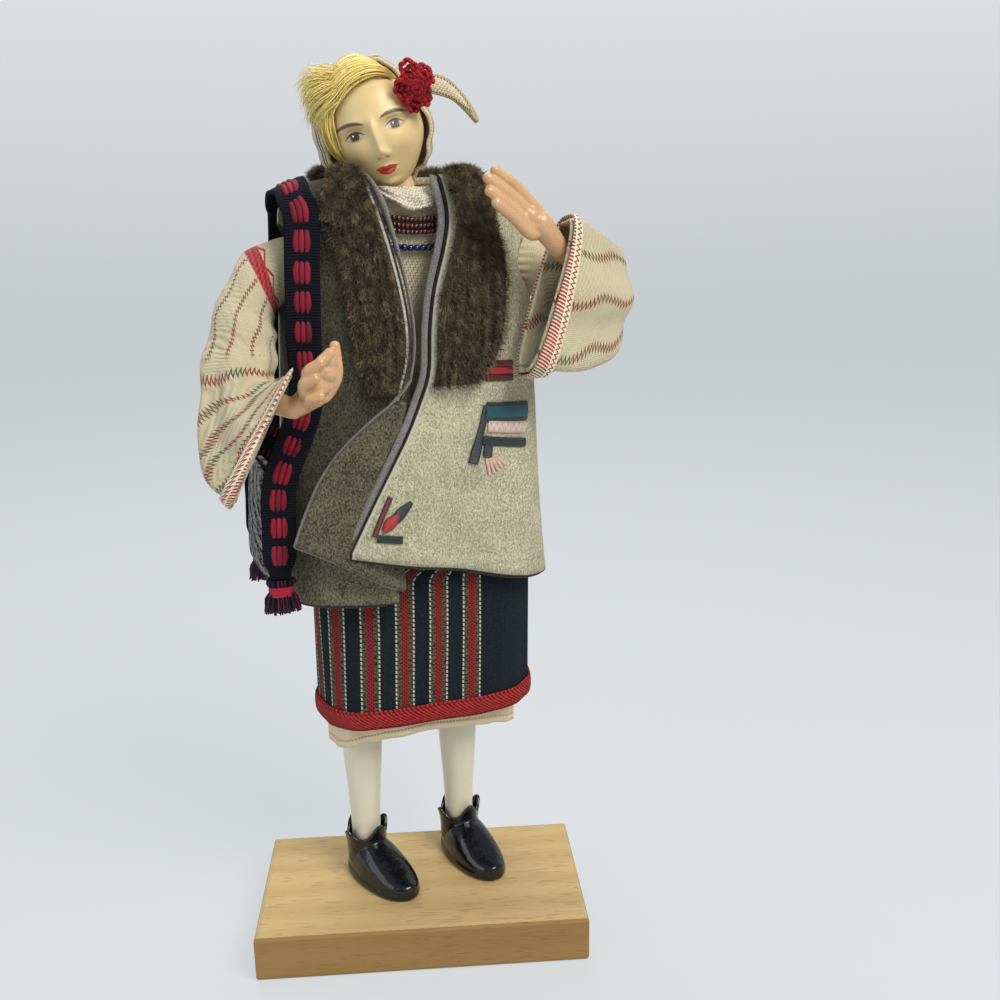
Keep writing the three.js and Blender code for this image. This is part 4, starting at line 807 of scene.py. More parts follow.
cotton = Finish("petticoat_cotton", 0.85, Sheen_Weight=0.2)
u, v = cotton.cut()
threads = cotton.weave(u, v, 0.42)
crease = cotton.grain((u * 0.12, v * 0.05), 4.0)
stitches = hem_row(v, u, HEM_TURN, 0.85, 0.62, 0.14)
turned = (v - HEM_TURN).within(0.3, 0.3)
# The crease noise also darkens the cloth where it sinks the bump: painted shade in the creases.
tone = cotton.mix(threads * 0.5 + crease * 0.4, (206, 184, 142), (238, 224, 192))
tone = cotton.mix(stitches, tone, (168, 140, 96))
cotton_finish = cotton.done(
    tone, 0.86, cotton.bump(threads * 0.5 - stitches - turned * 0.8 + crease * 2.0, 0.14)
)
petticoat = settle(
    cloth("petticoat_cloth", 150, 48, petticoat_point, 0.7, around=True),
    cotton_finish, "figure", ["petticoat"],
)
declare(petticoat)

# %% [markdown]
# The wrap skirt is one length of dark warp-striped wool, wound once round the waist and lapped over
# its own start at the doll's left side. The stripes run up and down the cloth, so they're placed by
# the distance along it: a dashed white line, olive, crimson, olive, a dashed white line, and dark
# ground to the next group. The last hand's breadth before the lapped end is plain.

# %% Wrap skirt
LAP = math.radians(24)
SKIRT_HEM = 47.6
BAND_WIDTH = 4.8


def skirt_point(turn, z, outside=0.0):
    x, y, a, b = skirt_section(z, -outside)
    lap = 1.7 * soft(turn, 1.45 * math.pi, 1.95 * math.pi)
    fold = (0.5 * math.sin(5 * turn + 0.6) + 0.14 * math.sin(13 * turn)) * soft(z, 90, SKIRT_HEM)
    dx, dy = oval(turn, a + lap + fold, b + lap + fold)
    return Vector((x + dx, y + dy, z))


turns = np.linspace(0, math.tau + LAP, 721)
ring = np.array([skirt_point(turn, 66) for turn in turns])
reach = np.concatenate([[0], np.cumsum(np.linalg.norm(np.diff(ring, axis=0), axis=1))])
SKIRT_LENGTH = float(reach[-1])


def skirt_turn(share):
    return float(np.interp(share * SKIRT_LENGTH, reach, turns))


def skirt_distance(x):
    """How far along the cloth the front reaches the place x."""
    front = [i for i in range(len(turns)) if math.pi < turns[i] < 2 * math.pi]
    nearest = min(front, key=lambda i: abs(ring[i][0] - x))
    return float(reach[nearest])


STRIPE_PITCH = 8.4
LAST_STRIPE_X = 9.9
last_stripe = skirt_distance(LAST_STRIPE_X)
wool = Finish("striped_wool", 0.95, Specular_IOR_Level=0.15)
u, v = wool.cut()
rib = u.wave(0.42)
fuzz = wool.grain((u * 1.3, v * 1.3), 4.0, 0.7)
from_stripe = abs((u - last_stripe).wrap(STRIPE_PITCH))
striped = (u - (last_stripe + 3.4)).math("LESS_THAN", 0.0)
slant = ((v + u * 0.5) / 1.15).fract()
every_second = ((u - last_stripe) / STRIPE_PITCH * 0.5).fract().over(0.5, 0.02)
ground = wool.mix(every_second, (18, 22, 30), (16, 28, 30))
ground = wool.mix(fuzz.over(0.55, 0.3) * 0.5 + rib * 0.12, ground, (44, 52, 58))
olive_spot = wool.grain((u * 1.1, v * 2.4), 2.0).over(0.5, 0.16)
olive = wool.mix(olive_spot, (40, 40, 34), (98, 92, 66))
check = (u + v).fract().over(0.5, 0.2) * (u - v).fract().over(0.4, 0.2)
crimson = wool.mix(check, (142, 40, 48), (64, 24, 28))
white_line = (from_stripe - 2.15).within(0.2, 0.1) * slant.math("LESS_THAN", 0.66)
tone = wool.mix(from_stripe.within(1.95, 0.1) * striped, ground, olive)
tone = wool.mix(from_stripe.within(0.85, 0.12) * striped, tone, crimson)
tone = wool.mix(white_line * striped, tone, (196, 196, 182))
frayed = (u - (SKIRT_LENGTH - 1.1)).over(0.0, 0.4) * slant
tone = wool.mix(frayed * 0.7, tone, (86, 84, 84))
wool_finish = wool.done(
    tone, 0.92, wool.bump(rib * 0.5 + fuzz * 0.5 + white_line * striped * 0.7, 0.16)
)


def skirt_place(s, t):
    return skirt_point(skirt_turn(s), mix(SKIRT_HEM, SKIRT_TOP, t))


def band_place(s, t):
    turn = mix(LAP + 0.08, math.tau + LAP, s)
    edge = math.sin(math.pi * t) ** 0.5
    return skirt_point(turn, SKIRT_HEM + BAND_WIDTH * t, FIT + 0.22 + 0.3 * edge)


skirt = settle(
    cloth("wrap_skirt_cloth", 260, 48, skirt_place, 0.9),
    wool_finish, "figure", ["wrap_skirt"],
)
twill = Finish("red_twill", 0.85, Specular_IOR_Level=0.2)
u, v = twill.cut()
diagonal = (u + v * 1.4).wave(1.15)
fuzz = twill.grain((u * 1.2, v * 1.2), 3.0)
tone = twill.mix(diagonal, (82, 10, 16), (172, 46, 46))
tone = twill.mix(fuzz.over(0.6, 0.2) * 0.3, tone, (224, 86, 84))
seam = hem_row(v, u, BAND_WIDTH - 0.5, 1.1, 0.6) + hem_row(v, u, 0.5, 1.1, 0.6)
tone = twill.mix(seam.least(1.0) * 0.8, tone, (60, 10, 18))
twill_finish = twill.done(tone, 0.78, twill.bump(diagonal * 1.5 - seam, 0.2))
band = settle(
    cloth("hem_band_cloth", 240, 10, band_place, 0.5),
    twill_finish, "figure", ["skirt_hem_band"],
)
declare(skirt)

# %% [markdown]
# The belt holds the skirt up. It is hidden by the vest, and is still woven: a narrow red band with a
# row of light lozenges.

# %% Belt
BELT_WIDTH = 6
BELT_FOOT = SKIRT_TOP - 7.5
BELT_STAND = FIT + 2.7


def belt_place(s, t):
    x, y, a, b = skirt_section(BELT_FOOT, 0)
    stand = BELT_STAND + 0.15 * math.sin(math.pi * t)
    dx, dy = oval(s * math.tau, a + stand, b + stand)
    return Vector((x + dx, y + dy, BELT_FOOT + BELT_WIDTH * t))


sash = Finish("belt_weave", 0.85, Sheen_Weight=0.15)
u, v = sash.cut()
rib = u.wave(0.5)
off_middle = abs(v - BELT_WIDTH / 2)
lozenge = 1 - (abs(u.wrap(3.0)) * 1.1 + off_middle).over(1.3, 0.15)
edge = (off_middle - 2.4).within(0.2, 0.08)
tone = sash.mix(rib * 0.5, (128, 26, 38), (92, 18, 28))
tone = sash.mix(lozenge, tone, (220, 208, 170))
tone = sash.mix(edge, tone, (30, 30, 44))
sash_finish = sash.done(tone, 0.86, sash.bump(rib + lozenge * 0.6, 0.14))
settle(
    cloth("belt_weave", 140, 8, belt_place, 0.9, around=True),
    sash_finish, "figure", ["belt"],
)

# %% [markdown]
# The bodice of the shift is coarser linen. It shows in the V between the vest fronts, where its weave
# can be counted. The body inside keeps its solid, with the finish of a plain moulding.

# %% Bodice and body
ARM_HEIGHT = 157.0
BODICE_ARMHOLE = 8.4
VEST_ARMHOLE = 9.6


def bodice_place(s, t):
    turn = s * math.tau
    point = bodice.at(t * 1.8, turn)
    slack = 0.35 * soft(t, 0.75, 0.3) * math.sin(6 * turn + 3 * t)
    return point + Vector((math.cos(turn), math.sin(turn), 0)) * slack


def pierced(piece, radius, keep_middle=15.0):
    """Cuts the armholes of a garment, one side after the other."""
    for side in (-1, 1):
        tool = bar(radius, 140, 72, (0, 0, ARM_HEIGHT), (0, math.pi / 2, 0))
        apply_place()
        for vertex in tool.data.vertices:
            if vertex.co.x * side < 0:
                vertex.co.x = side * keep_middle
        cut_with(piece, tool)
    return piece


def linen(name, pitch, light=(236, 226, 200), dark=(196, 182, 148), thread=0.5):
    """A linen finish still open for embroidery: the finish, its flat measures, its tone and height."""
    made = Finish(name, 0.85, Sheen_Weight=0.15)
    u, v = made.cut()
    threads = made.weave(u, v, pitch)
    slub = made.grain((u * 0.35, v * 2.2), 3.0, 0.6)
    cloud = made.grain((u * 0.08, v * 0.08), 3.0)
    share = threads * thread + slub * 0.35 + cloud * 0.2
    return made, u, v, made.mix(share, dark, light), threads * 0.8 + slub * 0.5


bodice_linen, u, v, tone, height = linen("bodice_linen", 0.62, (226, 214, 184), (150, 136, 104))
bodice_finish = bodice_linen.done(tone, 0.88, bodice_linen.bump(height, 0.2))
shift = settle(
    pierced(cloth("shift_bodice_cloth", 96, 60, bodice_place, 0.8, around=True), BODICE_ARMHOLE, 5.0),
    bodice_finish, "figure", ["shift_bodice"],
)
declare(shift)

trunk = Finish("body_moulding", 0.5)
grain = trunk.speckle(0.8, 3.0)
trunk_finish = trunk.done(
    trunk.mix(grain, (224, 184, 144), (232, 196, 158)), grain * 0.1 + 0.42,
    trunk.bump(grain, 0.04),
)
dressed(nodes["body"], trunk_finish)

# %% [markdown]
# The vest is soft suede: the left front lies over the right one, and the lower corner of the right
# front is turned back, so its other face shows as a big triangle. Suede has no weave. It is a fine nap,
# lighter where it is brushed up, with thin darkened edges. The right front is darker suede, partly as
# its own nap and partly as painted shade, and painted shade darkens its upper part further.

# %% Vest
right_edge = smooth_line([
    (80, -8.8), (118, -8.4), (129, -6.2), (137, -4), (144, -3.6), (152, -4.6), (161, -6.6), (168, -8.6),
    (176.6, -11.5),
])
left_edge = smooth_line([
    (95.4, -18), (106, -13.3), (119, -7), (132, -0.4), (144, 0.9), (152, 2.2), (162, 5.1), (168, 6),
    (176.6, 4.6),
])
FUR_BOTTOM = 131
RIGHT_HEM = 81.5
LEFT_HEM_HIGH, LEFT_HEM_LOW = 95.4, 81
SUEDE = 1.9
FLAP_TOP = (-7.6, 129)
FLAP_TIP = (-33, 99)
FLAP_FOOT = (-8.8, 84.6)
VEST_LAP = 5.1


def left_hem(x):
    return mix(LEFT_HEM_HIGH, LEFT_HEM_LOW, soft(x, -30, 39))


def left_lift(x, z):
    """How far the left front is lifted where it lies over the turned-back corner."""
    return VEST_LAP * soft(x, 9, -6) * soft(z, 129.5, 118)


def sway(x, z):
    """Slow soft waves of the suede."""
    return (0.45 * math.sin(x * 0.17 + z * 0.045) + 0.2 * math.sin(x * 0.4 - z * 0.08)) * soft(z, 150, 105)


def left_point(s, t, outside=0.0):
    x = 0.0
    for _ in range(3):
        q = mix(vest.q_of(left_hem(x)), 2, t)
        z, a, _ = vest.section(q)
        turn = mix(front_turn(left_edge(z), a), 0.0, s)
        x = oval(turn, a, 1)[0]
    return vest.at(q, turn, -outside - left_lift(x, z) - sway(x, z) * soft(s, 1, 0.85))


def right_point(s, t, outside=0.0):
    q = mix(vest.q_of(RIGHT_HEM), 2, t)
    z, a, _ = vest.section(q)
    turn = mix(-math.pi, front_turn(right_edge(z), a), s)
    x = oval(turn, a, 1)[0]
    return vest.at(q, turn, -outside - 0.5 * sway(x, z) * soft(s, 0, 0.15))


def back_point(s, t):
    turn = math.pi * s
    q = 2 * t
    x, z = oval(turn, vest.section(q)[1], 1)[0], vest.section(q)[0]
    return vest.at(q, turn, -sway(x * 1.3, z) * soft(abs(math.cos(turn)), 1, 0.9))


def flap_point(s, t):
    far = mix(0.03, 1, t)
    foot = (mix(FLAP_FOOT[0], FLAP_TIP[0], s), mix(FLAP_FOOT[1], FLAP_TIP[1], s))
    bow = 3.6 * s ** 2 * math.sin(math.pi * far)
    x, z = mix(FLAP_TOP[0], foot[0], far) - 0.81 * bow, mix(FLAP_TOP[1], foot[1], far) + 0.59 * bow
    rooted = mix(-0.9, 0.6, soft(s, 0, 0.18))
    stand = rooted + 1.3 + far * s ** 2 * 5 + 0.8 * math.sin(math.pi * s) * far
    base = vest.front(max(x, -24), z, stand)
    base.x += min(0.0, x + 24)
    return base


def fold_path():
    return [vest.front(right_edge(z), z, 0.1) for z in np.linspace(FLAP_FOOT[1], FLAP_TOP[1] - 1, 30)]


def suede(name, light, dark, edges=False, shaded=False):
    made = Finish(name, 0.95, Sheen_Weight=0.1, Sheen_Roughness=0.5, Specular_IOR_Level=0.15)
    spot = made.place_mm()
    u, v = made.cut()
    x, y, z = made.parts(spot)
    nap = made.grain((x * 2.4, y * 2.4, z * 1.7), 5.0, 0.75)
    brushed = made.noise(spot, 0.16, 4.0, 0.6)
    fleck = made.noise(spot, 4.2, 2.0).over(0.6, 0.12)
    tone = made.mix((nap - 0.4) * 4.6 + (brushed - 0.5) * 0.9, dark, light)
    tone = made.mix(fleck * 0.3, tone, tuple(v * 0.6 for v in dark))
    # A shaded panel gets painted shade, darker towards its top.
    if shaded:
        tone = made.mix(z.over(118, 46) * 0.62, tone, (34, 31, 24))
    if edges:
        upper = v.over(44, 2)
        tone = made.mix(u.within(0.45, 0.1), tone, (46, 44, 40))
        seam = (u - 0.8).within(0.26, 0.14) * (upper if shaded else 1.0)
        tone = made.mix(seam, tone, (204, 200, 188))
    tone = made.mix(v.within(0.3, 0.15), tone, (56, 52, 42))
    return made.done(tone, 0.96, made.bump(nap + fleck * 0.4 + brushed * 1.5, 0.3))


suede_finish = suede("vest_suede", (222, 219, 188), (152, 148, 118), True)
# The right front: darker suede, partly its own nap and partly painted shade, with painted shade on its
# upper part.
dark_suede = suede("nap_down_suede_painted_shade", (146, 142, 116), (62, 59, 46), True, True)
turned_suede = suede("turned_suede", (128, 124, 100), (44, 42, 33))
back_suede = suede("back_suede", (222, 219, 188), (152, 148, 118))

def vest_panel(name, columns, rows, place, **more):
    return pierced(cloth(name, columns, rows, place, SUEDE, **more), VEST_ARMHOLE)


back = settle(
    vest_panel("vest_back_suede", 72, 72, back_point),
    back_suede, "figure", ["vest_back"],
)
left_front = settle(
    vest_panel("vest_left_suede", 56, 84, left_point),
    suede_finish, "figure", ["vest_front_left"],
)
panel = dressed(
    vest_panel("vest_right_panel", 48, 76, right_point, from_end=(True, False)), dark_suede
)
roll = dressed(tube("vest_fold_roll", fold_path(), 1.25, 20, 1.05), turned_suede)
flap = dressed(cloth("vest_flap", 40, 44, flap_point, 1.3, flip=True), turned_suede)
print("flap", round(flap["cut_mm2"]), "mm2")
cut_mm2, cut_mm = panel["cut_mm2"] + flap["cut_mm2"], panel["cut_mm"]
right_front = joined("vest_right_suede", [panel, roll, flap])
right_front["cut_mm2"], right_front["cut_mm"] = cut_mm2, cut_mm
settle(right_front, None, "figure", ["vest_front_right"])

for panel in (left_front, right_front, back):
    declare(panel)

# %% [markdown]
# Fur is modelled twice: a soft pad that carries its bulk, and thousands of single hairs on it. Each
# hair is a bent blade, a quad and a triangle. The UV map keeps a random number for its tint and the
# share along it, so that roots are dark and tips are pale.

# %% Fur
rng = np.random.default_rng(7)
PILE_LENGTH = 2.5
FUR_THICKNESS = 2.6
EDGE_GAP = 1.6


def unit(vectors):
    return vectors / (np.linalg.norm(vectors, axis=-1, keepdims=True) + 1e-9)


def surface_grid(place, columns, rows):
    points = grid_of(place, columns, rows)
    across, along = np.gradient(points, axis=1), np.gradient(points, axis=0)
    return points, unit(np.cross(across, along))


def pick(grid, s, t):
    rows, columns = grid.shape[0] - 1, grid.shape[1] - 1
    i, j = np.minimum((s * columns).astype(int), columns - 1), np.minimum((t * rows).astype(int), rows - 1)
    a, b = (s * columns - i)[:, None], (t * rows - j)[:, None]
    low = grid[j, i] * (1 - a) + grid[j, i + 1] * a
    high = grid[j + 1, i] * (1 - a) + grid[j + 1, i + 1] * a
    return low * (1 - b) + high * b


def mesh_piece(name, points, faces, layer, uv):
    """A new piece from its points and faces, with one UV map, a pair for each corner of a face."""
    mesh = bpy.data.meshes.new(name)
    mesh.from_pydata(points.reshape(-1, 3).tolist(), [], faces)
    mesh.uv_layers.new(name=layer).data.foreach_set("uv", uv.astype(np.float32).ravel())
    piece = bpy.data.objects.new(name, mesh)
    bpy.context.collection.objects.link(piece)
    return piece


def blades(name, roots, middles, tips, width, tint):
    """Bent blades, each a quad and a triangle, in one mesh."""
    count = len(roots)
    side = unit(np.cross(unit(tips - roots), rng.normal(size=(count, 3)))) * width[:, None]
    corners = np.stack([roots - side, roots + side, middles + side * 0.8, middles - side * 0.8, tips], 1)
    base = np.arange(count) * 5
    quads = np.stack([base, base + 1, base + 2, base + 3], 1).tolist()
    points = np.stack([base + 3, base + 2, base + 4], 1).tolist()
    faces = [face for pair in zip(quads, points) for face in pair]
    along = np.tile([0, 0, 0.5, 0.5, 0.5, 0.5, 1.0], count)
    return mesh_piece(name, corners, faces, "strand", np.stack([np.repeat(tint, 7), along], 1))


def fur(name, place, count, comb, flip):
    """Hairs that grow from a surface and are combed in one direction."""
    points, normals = surface_grid(place, 24, 60)
    normals = -normals if flip else normals
    s, t = rng.random(count), rng.random(count)
    root, normal = pick(points, s, t), unit(pick(normals, s, t))
    wild = rng.normal(size=(count, 3)) * 0.4
    clump = np.stack([np.sin(s * 31 + t * 17), np.cos(t * 67 + s * 9), np.sin(t * 49 - s * 27)], 1) * 0.55
    rise = unit(normal + wild + clump + np.array(comb) * 0.45)
    reach = PILE_LENGTH * (0.55 + 0.6 * rng.random(count))[:, None]
    middle = root + rise * reach * 0.55
    tip = middle + unit(rise + np.array(comb) * 0.7 + wild * 0.6) * reach * 0.45
    width = 0.045 + 0.035 * rng.random(count)
    return blades(name, root - normal * 0.3, middle, tip, width, rng.random(count).astype(np.float32))


def fur_finish(name, root, dark, light, tip):
    made = Finish(name, 0.75, Sheen_Weight=0.08, Specular_IOR_Level=0.3)
    tint, along = made.cut("strand")
    patch = made.speckle(0.42, 3.0)
    tone = made.mix(tint * 0.5 + (patch - 0.5) * 3.0, dark, light)
    tone = made.mix(1 - along.over(0.3, 0.5), tone, root)
    tone = made.mix(along.over(0.85, 0.3) * tint.over(0.55, 0.2) * 0.75, tone, tip)
    return made.done(tone, 0.7)


pile = fur_finish("brown_pile", (26, 21, 14), (62, 52, 37), (152, 135, 103), (222, 206, 168))
skin_side = Finish("fur_backing", 0.95)
mottle = skin_side.speckle(1.4, 4.0, 0.7)
backing_finish = skin_side.done(
    skin_side.mix(mottle, (44, 36, 26), (104, 90, 70)), 0.95, skin_side.bump(mottle, 0.4)
)
right_fur_edge = smooth_line([
    (FUR_BOTTOM, -12.6), (140, -15.4), (151, -16.6), (161, -17.4), (168, -20), (176.6, -17),
])
left_fur_edge = smooth_line([
    (FUR_BOTTOM, 11), (135, 15), (142, 17.8), (150, 18.8), (160, 18.4), (168, 16), (176.6, 12),
])


def fur_place(inner, outer, lifted, share):
    """The outer face of a trim, at a share of its whole thickness."""
    def place(s, t):
        q = mix(vest.q_of(FUR_BOTTOM), 1.78, t)
        z, a, _ = vest.section(q)
        x = mix(inner(z), outer(z), s)
        clipped = math.copysign(min(abs(x), a * 0.96), x)
        turn = front_turn(mix(x, clipped, soft(q, 1, 2)), a)
        swell = FUR_THICKNESS * mix(0.35, 1, math.sqrt(math.sin(math.pi * mix(0.04, 0.96, s))))
        swell *= mix(0.5, 1, math.sqrt(math.sin(math.pi * mix(0.06, 0.94, t))))
        lift = left_lift(oval(turn, a, 1)[0], z) if lifted else 0.0
        return vest.at(q, turn, -FIT - share * swell - lift)
    return place


def fur_trim(name, place_for, count, node, flip=False, comb=(0, -0.25, -0.9)):
    pad = cloth(f"{name}_pad", 20, 44, place_for(0.62), 0.9, flip=flip)
    dressed(pad, backing_finish, "strand")
    hairs = dressed(fur(f"{name}_hairs", place_for(0.6), count, comb, flip), pile)
    settle(joined(name, [pad, hairs]), None, "figure", [node])


def right_fur(share):
    return fur_place(lambda z: right_edge(z) - EDGE_GAP, right_fur_edge, False, share)


def left_fur(share):
    return fur_place(lambda z: left_edge(z) + EDGE_GAP, left_fur_edge, True, share)


fur_trim("fur_right", right_fur, 22000, "fur_trim_right", flip=True)
fur_trim("fur_left", left_fur, 24000, "fur_trim_left")


def collar_place(share):
    def place(s, t):
        turn = mix(0.12, math.pi - 0.12, s)
        swell = 0.65 * FUR_THICKNESS * math.sqrt(math.sin(math.pi * mix(0.06, 0.94, t)))
        low = mix(1.74, 1.3, math.sin(turn) ** 2)
        return vest.at(mix(low, 1.92, t), turn, -FIT - share * swell)
    return place


fur_trim("fur_collar_pile", collar_place, 14000, "fur_collar", comb=(0, 0.5, -0.5))

# %% [markdown]
# Each front ends in a cut strip of grey felt, and the hem in a thin dark cord. A cord lies beside the
# edge of its panel, so its path is the edge itself, moved out by the cord's own radius.

# %% Edge cords
MID_SUEDE = -SUEDE / 2


def outward(at):
    return Vector((at.x / vest.hem[0] ** 2, at.y / vest.hem[1] ** 2, 0)).normalized()


def beside(at, following, side, gap=0.9):
    along = (following - at).normalized()
    return at + along.cross(outward(at)).normalized() * side * gap


def edge_line(place, shares, side, gap=0.9):
    return [beside(place(t), place(t + 0.004), side, gap) for t in shares]


felt = Finish("grey_felt", 0.95, Sheen_Weight=0.3)
u, v = felt.cut()
rib = v.wave(0.55)
fuzz = felt.speckle(3.0, 4.0, 0.7)
tone = felt.mix(rib * 0.2 + (fuzz - 0.3) * 1.6, (66, 66, 64), (170, 168, 162))
felt_finish = felt.done(tone, 0.95, felt.bump(rib * 0.25 + fuzz * 1.5, 0.25))
cording = Finish("dark_cord", 0.85)
u, v = cording.cut()
ply = (v + u * 0.9).wave(0.8)
cord_finish = cording.done(
    cording.mix(ply, (30, 28, 26), (78, 70, 58)), 0.85, cording.bump(ply, 0.2)
)
front_edge = edge_line(lambda t: left_point(0, t, MID_SUEDE), np.linspace(0.97, 0.0, 60), -1)
hem_edge = [
    beside(left_point(0, 0, MID_SUEDE), left_point(0.02, 0, MID_SUEDE), 1, 0.25),
    *edge_line(lambda s: left_point(s, 0, MID_SUEDE), np.linspace(0.03, 0.95, 50), 1, 0.25),
]
left_cords = [
    dressed(tube("front_strip_left", front_edge, 0.85, 10, 0.75), felt_finish),
    dressed(tube("left_hem_cord", smooth_path(hem_edge, 100), 0.36), cord_finish),
]
settle(joined("edge_of_left_front", left_cords), None, "figure", ["front_cord_left"])

right_hem_q = vest.q_of(RIGHT_HEM)
fold_share = (vest.q_of(FLAP_TOP[1] + 3) - right_hem_q) / (2 - right_hem_q)
right_path = edge_line(lambda t: right_point(1, t, MID_SUEDE), np.linspace(0.95, fold_share, 50), 1)
right_path += [flap_point(1, t) for t in (0.02, 0.08, 0.2, 0.4, 0.6, 0.8, 1)]


def strip_radius(t):
    return mix(0.75, 1.15, soft(t, 0.15, 0.45)) * mix(1, 0.42, soft(t, 0.5, 0.75))


right_strip = rope("front_strip_right", smooth_path(right_path, 300), strip_radius, 12, 0.7)
flap_foot = tube("flap_foot", [flap_point(s, 1) for s in np.linspace(0.02, 1, 40)], 0.3, 8)
right_cords = joined("edge_of_right_front", [right_strip, flap_foot])
settle(right_cords, felt_finish, "figure", ["front_cord_right"])
right_hem = edge_line(lambda s: right_point(s, 0, MID_SUEDE), np.linspace(0.93, 0.1, 30), 1, 0.3)
back_hem = edge_line(
    lambda s: vest.at(0, mix(math.pi, 0, s), SUEDE / 2), np.linspace(0.03, 0.94, 60), -1, 0.3
)
settle(
    tube("back_hem_cord", smooth_path([*right_hem, *back_hem], 200), 0.4),
    cord_finish, "figure", ["hem_cord"],
)

# %% [markdown]
# The left front carries old folk motifs in silk: satin bars, a zigzag, a fan and a leaf. Satin stitch
# stands up from the suede, so each motif is a small crowned patch that lies on the front, with fine
# threads across it. A patch has a colour, a middle line in the width and height of the front, a half
# width, the height of its crown, and how far it zigzags.

# %% Silk motifs
def on_left(x, z, stand):
    return vest.front(x, z, stand + left_lift(x, z) + sway(x, z))


def silk(name, light, dark):
    made = Finish(name, 0.4, Coat_Weight=0.1)
    u, v = made.cut()
    thread = (v + u * 0.25).wave(0.34)
    patch = made.grain((u * 0.5, v * 1.4), 3.0)
    tone = made.mix(thread * 0.6 + patch * 0.4, dark, light)
    return made.done(tone, 0.4, made.bump(thread, 0.1))


SILKS = {
    "teal": silk("teal_silk", (34, 100, 104), (6, 44, 54)),
    "slate": silk("slate_silk", (52, 60, 62), (18, 24, 28)),
    "pink": silk("pink_silk", (228, 190, 174), (196, 142, 128)),
    "white": silk("white_silk", (238, 230, 222), (190, 176, 168)),
    "red": silk("red_silk", (196, 48, 50), (116, 20, 30)),
    "wine": silk("wine_silk", (110, 30, 36), (52, 14, 20)),
}


def patch(colour, line, half, crown, zigzag=0.0):
    """A satin patch along a middle line on the left front."""
    middle = smooth_path([(x, 0.0, z) for x, z in line], 41)
    steps = np.gradient(middle, axis=0)

    def place(s, t):
        i = round(t * 40)
        x, z = middle[i][0], middle[i][2]
        along = Vector((steps[i][0], 0, steps[i][2])).normalized()
        width = half(t) if callable(half) else half * min(1.0, 14 * min(t, 1 - t) + 0.75)
        side = (s - 0.5) * 2
        shift = zigzag * (2 * abs((t * 7) % 1 * 2 - 1) - 1)
        return on_left(
            x - along.z * (side * width + shift),
            z + along.x * (side * width + shift),
            0.05 + crown * math.sqrt(max(0.0, 1 - side * side)),
        )

    return dressed(cloth(f"patch_{colour}", 8, 40, place, 0.3), SILKS[colour])


def leaf(ends, belly):
    """A half width that swells from the ends to the middle."""
    return lambda t: ends + belly * math.sin(math.pi * t)


def stem(t):
    return mix(0.7, 1.15, soft(t, 0.5, 0.9))


UPPER_BAR = [(13.4, 124.2), (19.2, 123.6), (25.4, 123.0)]
LOWER_BAR = [(12.4, 117.8), (18.0, 116.7), (24.4, 115.6)]
ZIGZAG = [(13.9, 120.9), (19.2, 120.0), (24.8, 119.2)]
MOTIFS = [
    ("slate", UPPER_BAR, 2.2, 0.1),
    ("teal", UPPER_BAR, 1.4, 0.4),
    ("slate", [(13.7, 125.6), (12.2, 120.4), (9.8, 112.6)], stem, 0.15),
    ("pink", ZIGZAG, 1.35, 0.1),
    ("white", ZIGZAG, 0.4, 0.25, 0.75),
    ("slate", LOWER_BAR, 0.95, 0.18),
    ("slate", [(13.9, 116.6), (13.5, 113.9)], 1.05, 0.2),
    ("wine", [(-11.3, 108), (-13.6, 103.4), (-15.4, 99.4)], 0.42, 0.15),
    ("slate", [(-11.9, 101.2), (-9.4, 104.0), (-6.6, 106.4)], leaf(0.2, 0.95), 0.15),
    ("red", [(-13.2, 100.4), (-11.6, 102.2), (-9.8, 103.8)], leaf(0.3, 0.9), 0.3),
    ("slate", [(-14.8, 98.9), (-12.0, 98.5), (-9.2, 98.1)], 0.75, 0.15),
    ("slate", [(11.9, 138.6), (11.9, 131.4)], leaf(0.2, 1.5), 0.15),
    ("teal", [(11.9, 137.6), (11.9, 132.4)], leaf(0.1, 1.1), 0.4),
]
for colour, row in (("wine", 135.2), ("red", 133.6), ("wine", 132.0)):
    MOTIFS.append((colour, [(13.7, row), (21.2, row - 0.6)], 0.62, 0.2))
for k in range(5):
    MOTIFS.append(("pink", [(13.2 + 0.7 * k, 113.4), (14.0 + 1.1 * k, 109.4 + 0.5 * k)], 0.22, 0.1))
motifs = [patch(*motif) for motif in MOTIFS]
settle(joined("vest_embroidery", motifs), None, "figure")

# %% [markdown]
# A rough linen scarf is wound low round the neck, and glass beads hang under it: three strings of small
# dark red ones and one of bigger blue ones. Each bead is a ball on its thread.

# %% Neck scarf and beads
SCARF_HALF_WIDTH = 7.8
SCARF_HALF_DEPTH = 7.4
SCARF_LOW, SCARF_HIGH = 168.6, 172.4
ROW_HALF_WIDTH = 9.4
ROW_PITCH = 1.3


def neck_scarf_place(s, t):
    turn = s * math.tau
    ahead = max(0.0, -math.sin(turn))
    at = Vector((
        SCARF_HALF_WIDTH * math.cos(turn),
        SCARF_HALF_DEPTH * math.sin(turn),
        bodice.neck_z + mix(FIT, 0.6, t),
    ))
    bib = bodice.front(at.x, mix(SCARF_LOW, SCARF_HIGH, t), EASE + 3 * FIT)
    at.y = mix(at.y, bib.y, ahead ** 0.75)
    at.z = mix(at.z, bib.z, ahead ** 2.2)
    ruck = 0.22 * math.sin(9 * turn + 5 * t) + 0.25 * math.sin(math.pi * t * 3 + 2 * turn)
    out = Vector((math.cos(turn), math.sin(turn), 0.4 * ahead))
    return at + out * (1.15 + ruck * ahead)


rough, u, v, tone, height = linen("rough_linen", 0.7, (242, 234, 214), (176, 158, 124), 0.6)
rough_finish = rough.done(tone, 0.9, rough.bump(height, 0.3))
settle(
    cloth("neck_scarf_cloth", 120, 14, neck_scarf_place, 0.9, around=True),
    rough_finish, "figure", ["neck_scarf"],
)


